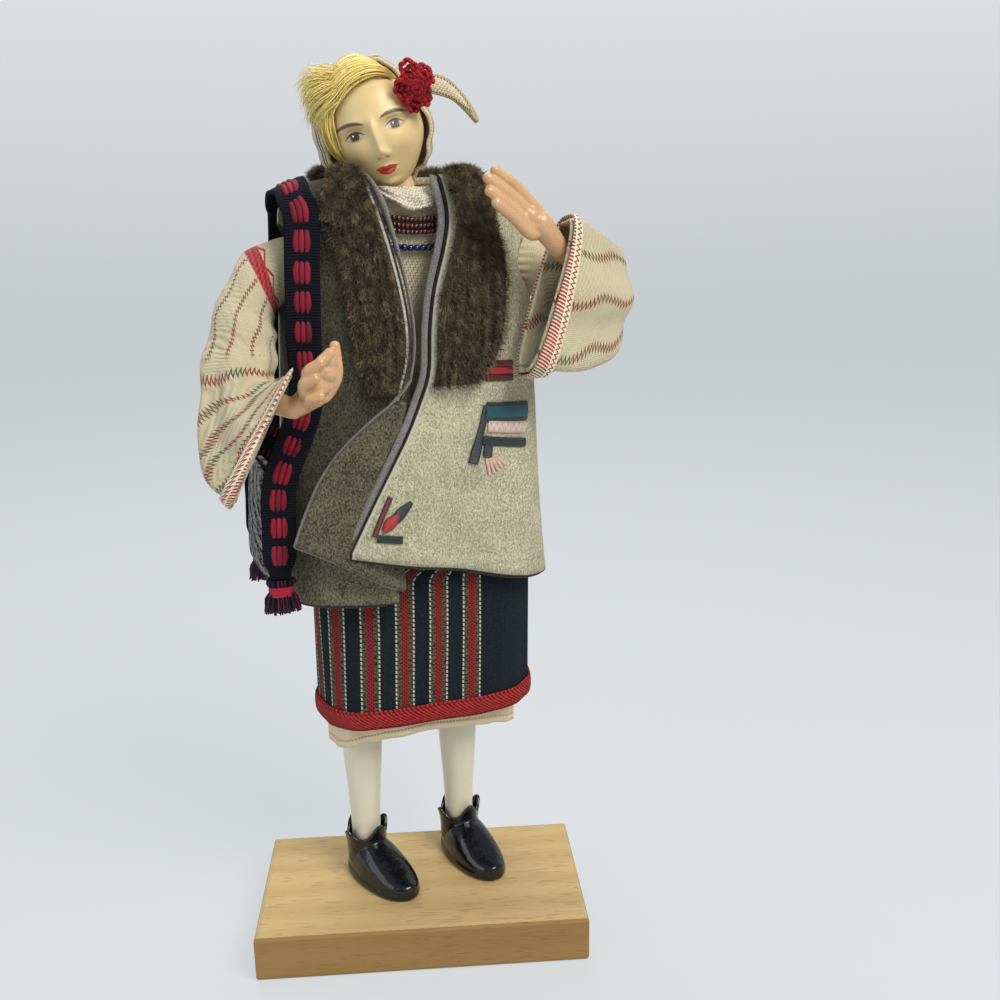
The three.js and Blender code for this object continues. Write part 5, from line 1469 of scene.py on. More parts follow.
def glass(name, light, dark):
    made = Finish(name, 0.08, Coat_Weight=0.6, Coat_Roughness=0.04, Specular_IOR_Level=0.6)
    swirl = made.speckle(0.9, 2.0)
    return made.done(made.mix(swirl, dark, light), swirl * 0.1 + 0.06)


red_glass = glass("red_glass", (86, 12, 24), (38, 5, 12))
blue_glass = glass("blue_glass", (18, 24, 92), (6, 8, 46))
bead_thread = Finish("bead_thread", 0.8)
shade = bead_thread.speckle(3.0)
bead_thread_finish = bead_thread.done(bead_thread.mix(shade, (52, 18, 22), (90, 40, 40)), 0.8)


def bead_string(name, node, front_z, radius, count, material):
    stations = [
        bodice.front(ROW_HALF_WIDTH * share, front_z + 1.8 * share ** 2, radius + FIT)
        for share in np.linspace(-1, 1, 13)
    ]
    path = smooth_path(stations, 12 * count + 1)
    parts = [dressed(tube(f"{name}_thread", path[::3], 0.16, 8), bead_thread_finish)]
    for at in path[6::12]:
        bead = ball(radius, at, 18, 12)
        bead.scale = (1.06, 1.06, 0.94 + 0.1 * rng.random())
        apply_place()
        bpy.ops.object.shade_smooth()
        parts.append(dressed(bead, material))
    settle(joined(name, parts), None, "figure", [node])


for row, name in enumerate(("top", "middle", "lower")):
    bead_string(
        f"red_string_{name}", f"red_beads_{name}", 167 - ROW_PITCH * row, 0.62, 19,
        red_glass,
    )
bead_string("blue_string", "blue_beads", 161, 0.78, 13, blue_glass)

# %% [markdown]
# The head is a moulded egg with soft features. A dense ball gives every point a direction, and the
# head's outline and a few smooth hills turn it into brows, lids, nose, lips, cheeks and chin. A hill is
# its height, its place across and up from the middle of the head, its half width and its half height.
# The face is painted on, so the paint is placed on a flat UV map of the front, in millimetres.

# %% Head
HEAD_RISE = 15.6
HEAD_HALF_WIDTH = 10.2
HEAD_HALF_DEPTH = 11.6
HEAD_HALF_HEIGHT = 13.4
NECK_BORE = 4.5
HEAD = DOLL @ Matrix.Translation((-1.6, -1.5, 171.7)) @ Euler(
    [math.radians(v) for v in (8, -16, -16)], "XYZ"
).to_matrix().to_4x4()


def head_skin(direction, stand=0.0):
    x, y, z = direction
    jaw = soft(-z, 0.1, 1)
    return Vector((
        (HEAD_HALF_WIDTH * (1 - 0.2 * jaw) + stand) * x,
        (HEAD_HALF_DEPTH * (1 - 0.12 * jaw) + stand) * y,
        HEAD_RISE + (HEAD_HALF_HEIGHT + stand) * z,
    ))


FEATURES = {
    "brow ridges": [(0.4, -4.8, 2.7, 2.8, 1.0), (0.4, 3.9, 2.8, 2.8, 1.0)],
    "sockets": [(-1.1, -4.5, 0.7, 2.0, 1.3), (-1.1, 3.6, 0.9, 2.0, 1.3)],
    "lids": [(0.6, -4.9, 0.1, 1.8, 0.8), (0.6, 3.9, 0.4, 1.8, 0.8)],
    "nose": [
        (0.9, -0.9, 1.0, 0.85, 1.7), (1.2, -0.7, -1.6, 0.9, 1.7), (1.7, -0.5, -4.0, 1.1, 1.2),
        (0.7, -1.7, -4.7, 0.7, 0.6), (0.7, 0.7, -4.7, 0.7, 0.6),
    ],
    "lips": [(0.65, -0.5, -7.45, 1.9, 0.5), (0.8, -0.4, -8.65, 1.6, 0.6), (-0.4, -0.5, -8.0, 1.9, 0.2)],
    "chin": [(1.0, -0.7, -11.6, 2.6, 1.5), (-0.35, -0.5, -10.1, 2.0, 0.6)],
    "cheeks": [(0.6, -5.4, -3.6, 2.6, 2.4), (0.6, 4.6, -3.4, 2.6, 2.4)],
}
head = ball(1, (0, 0, 0), 300, 210)
head.name = head.data.name = "head_moulding"
face_map = head.data.uv_layers[0]
face_map.name = "face"
directions = [vertex.co.normalized() for vertex in head.data.vertices]
skin = np.array([head_skin(direction) for direction in directions])
ahead = np.clip(-skin[:, 1] / 6, 0, 1)
for hills in FEATURES.values():
    for height, x, z, wide, tall in hills:
        hill = np.exp(-((skin[:, 0] - x) / wide) ** 2 - ((skin[:, 2] - HEAD_RISE - z) / tall) ** 2)
        skin[:, 1] -= height * hill * ahead
for vertex, place in zip(head.data.vertices, skin):
    vertex.co = place
for loop in head.data.loops:
    place = skin[loop.vertex_index]
    face_map.data[loop.index].uv = (place[0], place[2] - HEAD_RISE)
cut_with(head, bar(NECK_BORE, 24, 64, (0, 0, -4.7)))
alone(head)
bpy.ops.object.shade_smooth()


def stroke(u, v, start, end, arch, half, blur=0.12):
    """A painted stroke that tapers to both ends."""
    share = ((u - start[0]) / (end[0] - start[0])).math("ADD", 0.0, clamp=True)
    round_share = share * (1 - share) * 4
    line = share * (end[1] - start[1]) + start[1] + round_share * arch
    return 1 - (abs(v - line) - (round_share.power(0.5) * half - 0.06)).over(0.0, blur)


def spot(u, v, x, z, wide, tall, blur=0.25):
    a, b = (u - x) / wide, (v - z) / tall
    return 1 - (a * a + b * b).over(1.0, blur)


face = Finish("painted_skin", 0.42, Subsurface_Weight=0.1, Coat_Weight=0.12)
face.surface.inputs["Subsurface Radius"].default_value = (0.003, 0.0015, 0.001)
u, v = face.cut("face")
pore = face.speckle(2.2, 4.0, 0.6)
cloud = face.speckle(0.12, 3.0)
front = (-face.parts(face.node("ShaderNodeNewGeometry", output="Normal"))[1]).over(0.0, 0.4)
tone = face.mix(cloud * 0.7 + pore * 0.2, (212, 186, 130), (230, 208, 152))
for x in (-6.4, 5.6):
    tone = face.mix(spot(u, v, x, -4.2, 3.4, 2.8, 1.6) * 0.14, tone, (206, 140, 96))
for x, z, lean in ((-4.97, 0.04, 0.1), (3.93, 0.38, -0.1)):
    shade = spot(u, v, x, z + 0.7, 2.9, 1.5, 1.2) * 0.4
    tone = face.mix(shade, tone, (136, 108, 72))
    open_eye = stroke(u, v, (x - 2.1, z - lean), (x + 2.1, z + lean), 0.06, 0.78)
    tone = face.mix(open_eye, tone, (186, 170, 142))
    tone = face.mix(spot(u, v, x, z + 0.06, 1.0, 1.0) * open_eye, tone, (70, 48, 32))
    tone = face.mix(spot(u, v, x, z + 0.06, 0.5, 0.5) * open_eye, tone, (16, 12, 12))
    upper = stroke(u, v, (x - 2.3, z - lean - 0.1), (x + 2.3, z + lean - 0.1), 0.95, 0.3)
    lower = stroke(u, v, (x - 2.0, z - lean), (x + 2.0, z + lean), -0.8, 0.14)
    crease = stroke(u, v, (x - 2.2, z - lean + 0.5), (x + 2.2, z + lean + 0.5), 1.2, 0.12, 0.3)
    tone = face.mix(crease * 0.4, tone, (122, 82, 56))
    tone = face.mix(lower * 0.7, tone, (110, 74, 54))
    tone = face.mix(upper, tone, (44, 28, 24))
    # A small near-white dot in each eye is a painted highlight.
    tone = face.mix(spot(u, v, x - 0.3, z + 0.36, 0.17, 0.17), tone, (255, 252, 246))
hair_line = ((u * 0.8 + v * 1.6) / 0.34).fract().over(0.25, 0.4)
for start, end in (((-9.0, 1.7), (-2.3, 2.0)), ((1.1, 2.3), (7.2, 2.0))):
    brow = stroke(u, v, start, end, 0.9, 0.46, 0.3)
    tone = face.mix(brow * (hair_line * 0.4 + 0.6), tone, (66, 42, 28))
for x in (-1.4, 0.5):
    tone = face.mix(spot(u, v, x, -5.35, 0.45, 0.3, 1.0) * 0.6, tone, (110, 66, 46))
upper_lip = stroke(u, v, (-2.9, -7.7), (2.0, -7.75), 0.16, 0.6)
cupid = spot(u, v, -0.45, -6.9, 0.6, 0.3, 0.8)
lower_lip = stroke(u, v, (-2.4, -8.1), (1.6, -8.15), -0.5, 0.62)
lips = upper_lip.top(lower_lip) * (1 - cupid)
tone = face.mix(lips, tone, (196, 66, 46))
tone = face.mix(stroke(u, v, (-3.0, -7.8), (2.1, -7.9), -0.2, 0.13), tone, (120, 26, 24))
face_finish = face.done(
    face.mix(front, (216, 190, 134), tone), 0.46 - lips * 0.2, face.bump(pore, 0.05)
)
settle(head, face_finish, "head_group", ["head"], HEAD)

# %% [markdown]
# The hair is a thin brushed cap under the headscarf, and twelve hundred tapered strands on it. They
# start at a parting beside the flower and are combed across the forehead to the doll's right, where
# their ends stick out as a fan. Each strand is a thin tapered tube.

# %% Hair
HAIR_COUNT = 1200
HAIR_STEPS = 12
HAIR_RADIUS = 0.17
STRAND_ASKEW = (0.37, 0.21, 0.9)


def strands(name, paths, radii, sides=4):
    """Tapered tubes along many paths, in one mesh. paths is strand by step by place."""
    count, steps, _ = paths.shape
    along = unit(np.gradient(paths, axis=1))
    side = unit(np.cross(along, STRAND_ASKEW))
    up = np.cross(along, side)
    turns = np.arange(sides) / sides * math.tau
    ring = side[:, :, None] * np.cos(turns)[:, None] + up[:, :, None] * np.sin(turns)[:, None]
    points = paths[:, :, None] + ring * radii[:, :, None, None]
    faces, layout = [], []
    for j in range(steps - 1):
        for i in range(sides):
            a, b = j * sides + i, j * sides + (i + 1) % sides
            faces.append((a, b, b + sides, a + sides))
            layout += [j, j, j + 1, j + 1]
    faces += [tuple(reversed(range(sides))), tuple(range((steps - 1) * sides, steps * sides))]
    layout += [0] * sides + [steps - 1] * sides
    block = steps * sides
    everything = [tuple(v + block * n for v in face) for n in range(count) for face in faces]
    tint = np.repeat(rng.random(count), len(layout))
    share = np.tile(np.array(layout) / (steps - 1), count)
    piece = mesh_piece(name, points, everything, "strand", np.stack([tint, share], 1))
    alone(piece)
    bpy.ops.object.shade_smooth()
    return piece


def between(first, second, share):
    """A direction on the head between two others."""
    angle = first.angle(second)
    low, high = math.sin((1 - share) * angle), math.sin(share * angle)
    return (first * low + second * high).normalized()


def hair_paths():
    """Strands from the parting to the fan of ends. The first quarter lies down over the temple."""
    paths = np.zeros((HAIR_COUNT, HAIR_STEPS, 3))
    for n in range(HAIR_COUNT):
        row, lift = rng.random(), 0.4 + 2.0 * rng.random() ** 1.4
        if n < HAIR_COUNT // 4:
            root = Vector((mix(-0.62, -0.3, row), -0.52, 0.74)).normalized()
            tip = Vector((-0.97, mix(-0.36, -0.16, row), mix(-0.42, 0.1, row))).normalized()
            flare = 0.6 * rng.random()
        else:
            root = Vector((mix(0.58, 0.26, row), mix(-0.46, -0.2, row), mix(0.68, 0.94, row))).normalized()
            tip = Vector((mix(-0.96, -0.80, row), mix(-0.3, -0.2, row), mix(0.26, 0.62, row))).normalized()
            flare = (1.4 + 4.6 * rng.random()) * mix(0.7, 1.1, row)
        root += Vector(rng.normal(size=3)) * 0.025
        tip += Vector(rng.normal(size=3)) * 0.1
        for j, t in enumerate(np.linspace(0, 1, HAIR_STEPS)):
            direction = between(root.normalized(), tip.normalized(), t)
            spread = flare * soft(t, 0.6, 1.0)
            rise = lift * math.sin(math.pi * min(1, t * 1.15)) ** 0.7
            point = head_skin(direction, 0.35 + rise + spread)
            point.z += spread * 0.35
            paths[n, j] = point
    return paths


def cap(name, middle, reach, stand, columns, rows, thickness):
    """A cap that follows the head from a middle direction out to its own edge."""
    up = Vector(middle).normalized()
    right = Vector((1, 0, 0))
    front_way = right.cross(up).normalized()

    def place(s, t):
        turn = -s * math.tau
        angle = (1 - t) * reach(turn)
        flat = right * math.cos(turn) + front_way * math.sin(turn)
        direction = up * math.cos(angle) + flat * math.sin(angle)
        return head_skin(direction, stand(1 - t, turn))

    return cloth(name, columns, rows, place, thickness, around=True)


def around_edge(values):
    """The reach of a cap at any turn, from its angles at even turns, in degrees."""
    def reach(turn):
        place = (turn / math.tau + 1) % 1 * len(values)
        low, share = int(place) % len(values), place - int(place)
        step = (1 - math.cos(share * math.pi)) / 2
        return math.radians(mix(values[low], values[(low + 1) % len(values)], step))
    return reach


hair_fibre = Finish("blond_hair", 0.5, Sheen_Weight=0.2)
tint, along = hair_fibre.cut("strand")
tone = hair_fibre.mix(tint, (204, 172, 68), (248, 230, 138))
tone = hair_fibre.mix(1 - along.over(0.1, 0.3), tone, (166, 132, 50))
tone = hair_fibre.mix(along.over(0.9, 0.3) * 0.6, tone, (250, 240, 168))
hair_finish = hair_fibre.done(tone, 0.5)
under = Finish("hair_ground", 0.8)
comb = under.noise(under.combine(*under.parts(under.place_mm())[:2]), 1.6, 3.0)
under_finish = under.done(under.mix(comb, (150, 122, 62), (206, 178, 108)), 0.8)
hair_cap = cap(
    "hair_cap", (0, -0.25, 0.97), around_edge([50, 34, 15, 40, 72, 40, 24, 34]),
    lambda share, turn: mix(1.0, 0.3, share ** 2), 96, 24, 0.25,
)
dressed(hair_cap, under_finish, "strand")
paths = hair_paths()
taper = np.linspace(0, 1, HAIR_STEPS)
thick = HAIR_RADIUS * (1 - 0.25 * taper) * (1 - taper ** 4 * 0.9)
hairs = strands("hair_strands", paths, np.outer(0.7 + 0.5 * rng.random(HAIR_COUNT), thick))
dressed(hairs, hair_finish)
settle(joined("blond_hair", [hair_cap, hairs]), None, "head_group", ["hair"], HEAD)

# %% [markdown]
# The headscarf is a square of fine linen laid over the back of the head. Its edge round the face has
# two dark cords worked into it, and soft folds run from the crown to the edge. Its sewn point stands
# off at the doll's left, like a leaf with a stitched border.

# %% Headscarf
SCARF_MIDDLE = (0, 0.94, 0.34)
scarf_reach = around_edge([106, 102, 92, 82, 80, 88, 102, 110, 94, 62, 92, 110])


def scarf_stand(share, turn):
    fold = 0.32 * math.sin(11 * turn + 2 * share) + 0.16 * math.sin(23 * turn)
    place = turn % math.tau
    side = math.exp(-((place - 3.2) / 0.75) ** 2) + 0.3 * math.exp(-((place - 5.9) / 0.5) ** 2)
    billow = 2.4 * side * (soft(share, 0.3, 0.84) - 0.7 * soft(share, 0.86, 1.0))
    return 1.5 + 0.3 * share ** 2 + fold * soft(share, 0.15, 0.6) * 0.8 + billow


scarf_linen, u, v, tone, height = linen("scarf_linen", 0.4, (240, 232, 206), (204, 190, 150), 0.4)
edge_lines = (v - 0.9).within(0.2, 0.1).top((v - 1.8).within(0.2, 0.1))
ply = u.wave(0.5)
tone = scarf_linen.mix(edge_lines * 0.9, tone, (62, 48, 36))
scarf_finish = scarf_linen.done(tone, 0.88, scarf_linen.bump(height * 0.5 + edge_lines * ply * 1.6, 0.2))
headscarf = cap("headscarf_cloth", SCARF_MIDDLE, scarf_reach, scarf_stand, 168, 56, 0.8)
settle(headscarf, scarf_finish, "head_group", ["headscarf"], HEAD)
declare(headscarf)


def tail_place(s, t):
    root, bend = Vector((12.0, -1.9, HEAD_RISE + 5.8)), Vector((18.4, -2.1, HEAD_RISE + 5.4))
    tip = Vector((21.4, -1.7, HEAD_RISE - 4.8))
    middle = root * (1 - t) ** 2 + bend * 2 * t * (1 - t) + tip * t * t
    along = ((bend - root) * (1 - t) + (tip - bend) * t).normalized()
    side = along.cross(Vector((0, 1, 0))) * (s - 0.5)
    half = 1.9 * (1 - t ** 2.1) ** 0.8 * (0.75 + 0.25 * math.sin(math.pi * min(1, t * 1.6))) + 0.06
    return middle + side * 2 * half - Vector((0, 0.5 * math.sin(math.pi * s), 0))


tail_linen, u, v, tone, height = linen("tail_linen", 0.4, (240, 230, 200), (200, 180, 134), 0.4)
s, t = tail_linen.cut("shares")
rim = (0.5 - abs(s - 0.5)) * (1 - t * t) * 3.9
stitch = (rim - 0.5).within(0.1, 0.08) * v.dash(0.7, 0.62) * (1 - t.over(0.9, 0.05))
tone = tail_linen.mix(stitch, tone, (120, 88, 52))
tone = tail_linen.mix((rim - 0.15).within(0.2, 0.15) * 0.6, tone, (140, 112, 70))
tail_finish = tail_linen.done(tone, 0.88, tail_linen.bump(height * 0.5 - stitch * 1.6, 0.2))
settle(
    cloth("scarf_point", 24, 36, tail_place, 0.5, shares=True),
    tail_finish, "head_group", ["scarf_tail"], HEAD,
)

# %% [markdown]
# The flower is crocheted: one thick wool thread that runs in a spiral and makes small loops on its way.
# The spiral rises to the middle, and a wavy outer round gives it petals.

# %% Flower
FLOWER_ROUNDS = 4.4
FLOWER_RADIUS = 4.1
LOOPS = 17


def flower_path(count):
    out = []
    for t in np.linspace(0, 1, count):
        turn = t * FLOWER_ROUNDS * math.tau
        outer = soft(t, 0.7, 0.1)
        petal = (abs(math.sin(turn * 2.5 + 0.4)) - 0.6) * 1.3 * outer
        radius = mix(FLOWER_RADIUS, 0.25, t ** 0.92) + petal + 0.16 * math.sin(turn * LOOPS)
        crown = 2.3 * (1 - radius / 4.8) + 0.5 * outer * math.cos(turn * 5)
        height = 0.9 + crown + 0.35 * math.cos(turn * LOOPS)
        out.append((radius * math.cos(turn) * 0.98, -height, radius * math.sin(turn) * 1.26))
    return out


crochet = Finish("crochet_wool", 0.6, Specular_IOR_Level=0.35)
u, v = crochet.cut()
ply = (v + u * 0.8).wave(0.8)
fuzz = crochet.speckle(3.0, 4.0, 0.7)
tone = crochet.mix(ply * 0.6 + fuzz * 0.5, (84, 0, 8), (216, 36, 46))
crochet_finish = crochet.done(tone, 0.6, crochet.bump(ply + fuzz * 0.4, 0.3))
coil = tube("coil", flower_path(1100), 0.5, 8)
backing = bar(3.7, 0.9, 48, turn=(math.pi / 2, 0, 0))
backing.data.transform(Matrix.Translation((0, -0.45, 0)))
apply_place()
backing.data.uv_layers[0].name = "cut"
flower = joined("crochet_flower", [coil, backing])
flower_place = Matrix.Translation((9.8, -8.0, 21.8)) @ Euler((0.15, 0, 0.25), "XYZ").to_matrix().to_4x4()
settle(flower, crochet_finish, "head_group", ["flower"], HEAD @ flower_place)

# %% [markdown]
# The arms are peach plastic: a chain of rounded limbs, a palm and tapered fingers. The limbs are bars
# along smooth paths. A voxel remesh melts them into one skin, and a few rounds of smoothing give the
# webs between the fingers their soft look. A pin at the top turns in the body.

# %% Arms and hands
SHOULDER, WRIST, PALM, KNUCKLE, FINGERTIP = 4.0, 2.2, 2.75, 1.62, 1.12
PIN_RADIUS = 2
PIN_LENGTH = 8
ARMS = {
    "right": {
        "limb": [(-24.7, 0, 157), (-33.5, -1.5, 152.5), (-41.3, -13.5, 132.5), (-31.6, -22.2, 129.4)],
        "palm": (-27.4, -24.2, 132.4),
        "fingers": [
            [(-25.2, -24.2, 132), (-22.9, -26.0, 136.4), (-23.2, -27.0, 142.6)],
            [(-27, -25, 134), (-27.4, -28.2, 138.4), (-24.6, -28.4, 141.4)],
            [(-28.4, -25, 133.6), (-29.2, -28, 137.6), (-26.8, -29.4, 139.6)],
            [(-29, -24.6, 132), (-30, -27.4, 135.2), (-28, -29, 136.4)],
            [(-28.6, -24, 130.4), (-29, -26.8, 132), (-27, -28, 132.6)],
        ],
        "flesh": [(2.6, (-26.6, -25.6, 134.6)), (2.2, (-25.2, -26.4, 137.4)), (1.7, (-24.6, -27.0, 139.8))],
    },
    "left": {
        "limb": [
            (24.7, 0, 157), (34, -1.5, 155), (42.8, -5.4, 152.5), (45.4, -12.6, 150.6), (29, -21.7, 160.5),
        ],
        "palm": (24.2, -22.2, 166),
        "fingers": [
            [(24, -22, 168), (18.6, -22.6, 173.6), (13.6, -23, 177)],
            [(22.8, -22.4, 166.8), (17, -23.2, 171.8), (11.6, -23.8, 175.4)],
            [(22, -22.8, 165.2), (16.4, -23.8, 169.8), (11.8, -24.2, 172.8)],
            [(22, -22.8, 163.8), (17, -24, 167.6), (13.2, -24.4, 170.4)],
            [(24.2, -20.8, 168.8), (20.4, -20.6, 172.2)],
        ],
        "flesh": [(2.1, (21.6, -22.6, 167.6))],
    },
}


def straight(points, count):
    points = np.array(points, float)
    return np.array([
        [np.interp(share, range(len(points)), points[:, k]) for k in range(3)]
        for share in np.linspace(0, len(points) - 1, count)
    ])


def arm_piece(side, limb, palm, fingers, flesh):
    bones = [SHOULDER, 3.1] + [2.9] * (len(limb) - 3) + [WRIST]

    def limb_radius(t):
        return float(np.interp(t * (len(bones) - 1), range(len(bones)), bones))

    parts = [
        rope(f"limb_{side}", straight(limb, 60), limb_radius, 24),
        rope(f"palm_{side}", straight([limb[-1], palm], 12), lambda t: mix(WRIST, PALM, t), 24),
    ]
    for k, finger in enumerate(fingers):
        path = smooth_path([palm, *finger], 30)
        parts.append(rope(f"finger_{side}_{k}", path, lambda t: mix(KNUCKLE, FINGERTIP, t), 14))
    for radius, at in [*zip([*bones, PALM], [*limb, palm]), *flesh]:
        parts.append(ball(radius, at, 24, 16))
    for finger in fingers:
        parts.append(ball(FINGERTIP + 0.01, finger[-1], 14, 10))
    inward = -1 if side == "left" else 1
    pin_place = (limb[0][0] + inward * 5.5, 0, ARM_HEIGHT)
    parts.append(bar(PIN_RADIUS, PIN_LENGTH, 32, pin_place, (0, math.pi / 2, 0)))
    piece = joined(f"arm_{side}_moulding", parts)
    apply_place()
    apply_modifier(piece, "REMESH", mode="VOXEL", voxel_size=0.24, use_smooth_shade=True)
    apply_modifier(piece, "SMOOTH", factor=0.5, iterations=5)
    return piece


peach_finish = plastic(
    "peach_plastic", (194, 150, 106), (212, 172, 128), (0.004, 0.002, 0.001), 0.25, 3.0, 0.2
)
for side, arm in ARMS.items():
    settle(arm_piece(side, **arm), peach_finish, f"{side}_arm", [f"arm_{side}"])

# %% [markdown]
# Each sleeve is a wide linen tube through a row of ovals, from the armhole to the cuff. An oval is its
# middle and its two half axes. The folds run round the sleeve at the elbow and along it at the cuff.
# The embroidery is worked in rows along the sleeve, each a wavy line of small zigzags in red, green or
# brown, so it follows the flat measure of the cloth.

# %% Sleeves
SLEEVES = {
    "right": [
        ((-24.6, 0, 157), (0, 0, 7.2), (0, 6.2, 0)),
        ((-30, -0.3, 156), (-0.8, 0, 7.0), (0, 6.4, 0)),
        ((-34.6, -1.6, 152.5), (-3.4, 0, 6.6), (0.2, 6.8, 0.6)),
        ((-38.8, -7, 143.2), (-7, 0.4, 1.8), (0, 6.8, -2)),
        ((-41.6, -14, 132.8), (-7.6, 0.2, -1.8), (0.6, 6.2, -2)),
        ((-41.7, -18.6, 126.4), (-8.7, -0.6, -9.2), (1.2, 5.8, -1)),
        ((-38.4, -21.6, 123.4), (-7.4, -0.4, -14.2), (1.6, 6.2, -0.6)),
    ],
    "left": [
        ((24.6, 0, 157), (0, 0, 7.2), (0, 7.0, 0)),
        ((30, -0.4, 156.6), (0.6, 0, 7.4), (0.6, 7.0, 0)),
        ((38, -2.2, 154.4), (1, 0, 8.6), (1.6, 6.2, 0)),
        ((45, -8, 150.8), (1, 0, 10.4), (5.4, 1.6, 0)),
        ((43.6, -15.4, 149.4), (-0.4, 0, 12.6), (4.2, -5, 0)),
        ((35.4, -19.4, 149.4), (1, 0, 16.8), (1.1, -6.5, 0)),
        ((25.4, -21.6, 150.2), (5.6, 0, 17.6), (0.4, -5.8, 0)),
    ],
}
SLEEVE_STEPS = 600
SLEEVE_ROWS = 8
CUFF_SHARE = 0.47


def sleeve_skin(ovals):
    runs = [smooth_path([station[k] for station in ovals], SLEEVE_STEPS + 1) for k in range(3)]

    def skin(t, turn, stand):
        place = min(max(t, 0.0), 1.0) * SLEEVE_STEPS
        i = min(int(place), SLEEVE_STEPS - 1)
        middle, tall, short = (Vector(mix(run[i], run[i + 1], place - i)) for run in runs)
        fold = 1 + 0.06 * t * math.sin(4 * turn + 5 * t)
        at = middle
        for axis, share in ((tall, math.cos(turn)), (short, math.sin(turn))):
            at = at + axis.normalized() * (axis.length * fold + stand) * share
        return at
    return skin


def sleeve_place(skin, phase):
    def place(s, t):
        turn = s * math.tau
        elbow = math.exp(-((t - 0.52) / 0.2) ** 2)
        rucks = 0.42 * elbow * math.sin(46 * t + 1.5 * math.sin(turn + phase))
        pleats = 0.95 * soft(t, 0.4, 0.8) * math.sin(6 * turn + 5 * t + phase) * soft(t, 1.0, 0.9)
        gather = 0.22 * soft(t, 0.22, 0.0) * math.sin(24 * turn)
        return skin(t, turn, rucks + pleats + gather - 0.15)
    return place


def tri(value):
    """A triangle wave between 0 and 1."""
    return value.math("PINGPONG", 1.0)


def stitched_row(made, line, period, along):
    """Wavy rows of small zigzag stitches, and the number that chooses their thread."""
    row = line.floor()
    wander = made.grain((along * 0.1, row * 3.7), 1.0) - 0.5
    off = (line.fract() - 0.5) * period + (along * 0.5 + row * 2.0).sin() * 0.55 + wander * 3.6
    zigzag = (tri(along / 0.5) - 0.5) * 1.3
    dye = made.grain((along * 0.2, row * 7.3), 1.0)
    return (off - zigzag).within(0.36, 0.18), dye


def sleeve_finish(side):
    made, u, v, tone, height = linen(f"sleeve_linen_{side}", 0.44, (222, 211, 178), (166, 150, 116), 0.5)
    round_share, long_share = made.cut("shares")
    stitch, dye = stitched_row(made, round_share * 9 + 0.2, 8.6, v)
    stitch = stitch * long_share.over(0.3, 0.02)
    if side == "right":
        across, other = stitched_row(made, long_share * 13 + 0.3, 4.6, u)
        lower = long_share.over(0.58, 0.02)
        stitch = stitch * (1 - lower) + across * lower
        dye = dye * (1 - lower) + other * lower
    thread = made.mix(dye.over(0.5, 0.03), (158, 34, 38), (118, 92, 48))
    thread = made.mix(dye.over(0.6, 0.03), thread, (66, 92, 54))
    tone = made.mix(stitch * 0.94, tone, thread)
    band = (long_share - 0.27).within(0.03, 0.006)
    checks = (tri(u / 0.6) - tri(v / 0.6)).over(0.0, 0.2)
    if side == "right":
        tone = made.mix(band, tone, made.mix(checks, (196, 56, 60), (140, 18, 34)))
        peaks = (long_share - 0.215 - tri(u / 3.2) * 0.03).within(0.006, 0.003)
        tone = made.mix(peaks, tone, (186, 40, 48))
        height = height + band * 2.0
    crease = made.grain((u * 0.1, v * 0.25), 4.0)
    height = height * 0.6 + stitch * 2.2 + crease * 4.0
    return made.done(tone, 0.88, made.bump(height, 0.2))


serged = Finish("serged_cuff", 0.8, Sheen_Weight=0.15)
u, v = serged.cut()
whip = ((u + v * 0.5) / 0.8).fract()
edge = v.over(2.0, 0.1)
zigzag = (v - 0.5 - tri(u / 0.6) * 1.0).within(0.24, 0.14)
red = (edge * whip.within(0.52, 0.1)).top(zigzag)
dye = serged.grain((u * 0.22, 0.0), 1.0)
thread = serged.mix(dye.over(0.6, 0.04), (170, 34, 42), (70, 90, 56))
tone = serged.mix(red, (228, 216, 186), thread)
serged_finish = serged.done(tone, 0.82, serged.bump(red, 0.3))


def cuff_place(skin):
    def place(s, t):
        share = mix(1 - CUFF_SHARE, 0.985, t)
        base, at = (
            skin(1 - 1 / SLEEVE_ROWS, s * math.tau, stand).lerp(skin(1, s * math.tau, stand), share)
            for stand in (0, EASE + 0.5)
        )
        return at + (at - base).normalized() * 0.25 * math.sin(math.pi * t)
    return place


for side, ovals in SLEEVES.items():
    skin = sleeve_skin(ovals)
    flip = side == "left"
    tube_place = sleeve_place(skin, 1.0 if flip else 0.0)
    sleeve = settle(
        cloth(f"sleeve_{side}_linen", 176, 110, tube_place, 0.7, around=True, shares=True, flip=flip),
        sleeve_finish(side), f"{side}_arm", [f"sleeve_{side}"],
    )
    cuff = settle(
        cloth(f"cuff_{side}_edge", 176, 6, cuff_place(skin), 0.5, around=True, flip=flip),
        serged_finish, f"{side}_arm", [f"cuff_{side}"],
    )
    declare(sleeve)

# %% [markdown]
# The bag is a pouch of black and white wool in a coarse diagonal weave, sewn shut at the bottom and
# carried by a narrow woven band. The band has crimson floats on a dark ground. Its ends are knotted
# under the bag's corners and end in tassels.

# %% Bag
BAG_THICKNESS = 5.2
BAG_WIDTH = 23
BAG_BAND = 12.25
BAG_TOP = 113
BAG_BOTTOM = 88.5
BAG_X = -(vest.hem[0] + EASE + BAG_THICKNESS / 2 + 0.6)


def bag_place(s, t):
    turn = s * math.tau
    plump = 0.55 + 0.45 * math.sin(math.pi * mix(0.08, 0.8, t))
    closed = soft(t, 0.0, 0.1) ** 0.5
    mouth = mix(1, 0.75, soft(t, 0.8, 1.0))
    slack = 0.15 * math.sin(5 * turn + 9 * t)
    x, y = oval(turn, BAG_THICKNESS / 2 * plump * closed * mouth + slack * closed,
                BAG_WIDTH / 2 * (0.94 + 0.06 * plump))
    return Vector((BAG_X + x + (1 - t) * -0.8 + t * 1.2, y, mix(BAG_BOTTOM, BAG_TOP, t)))


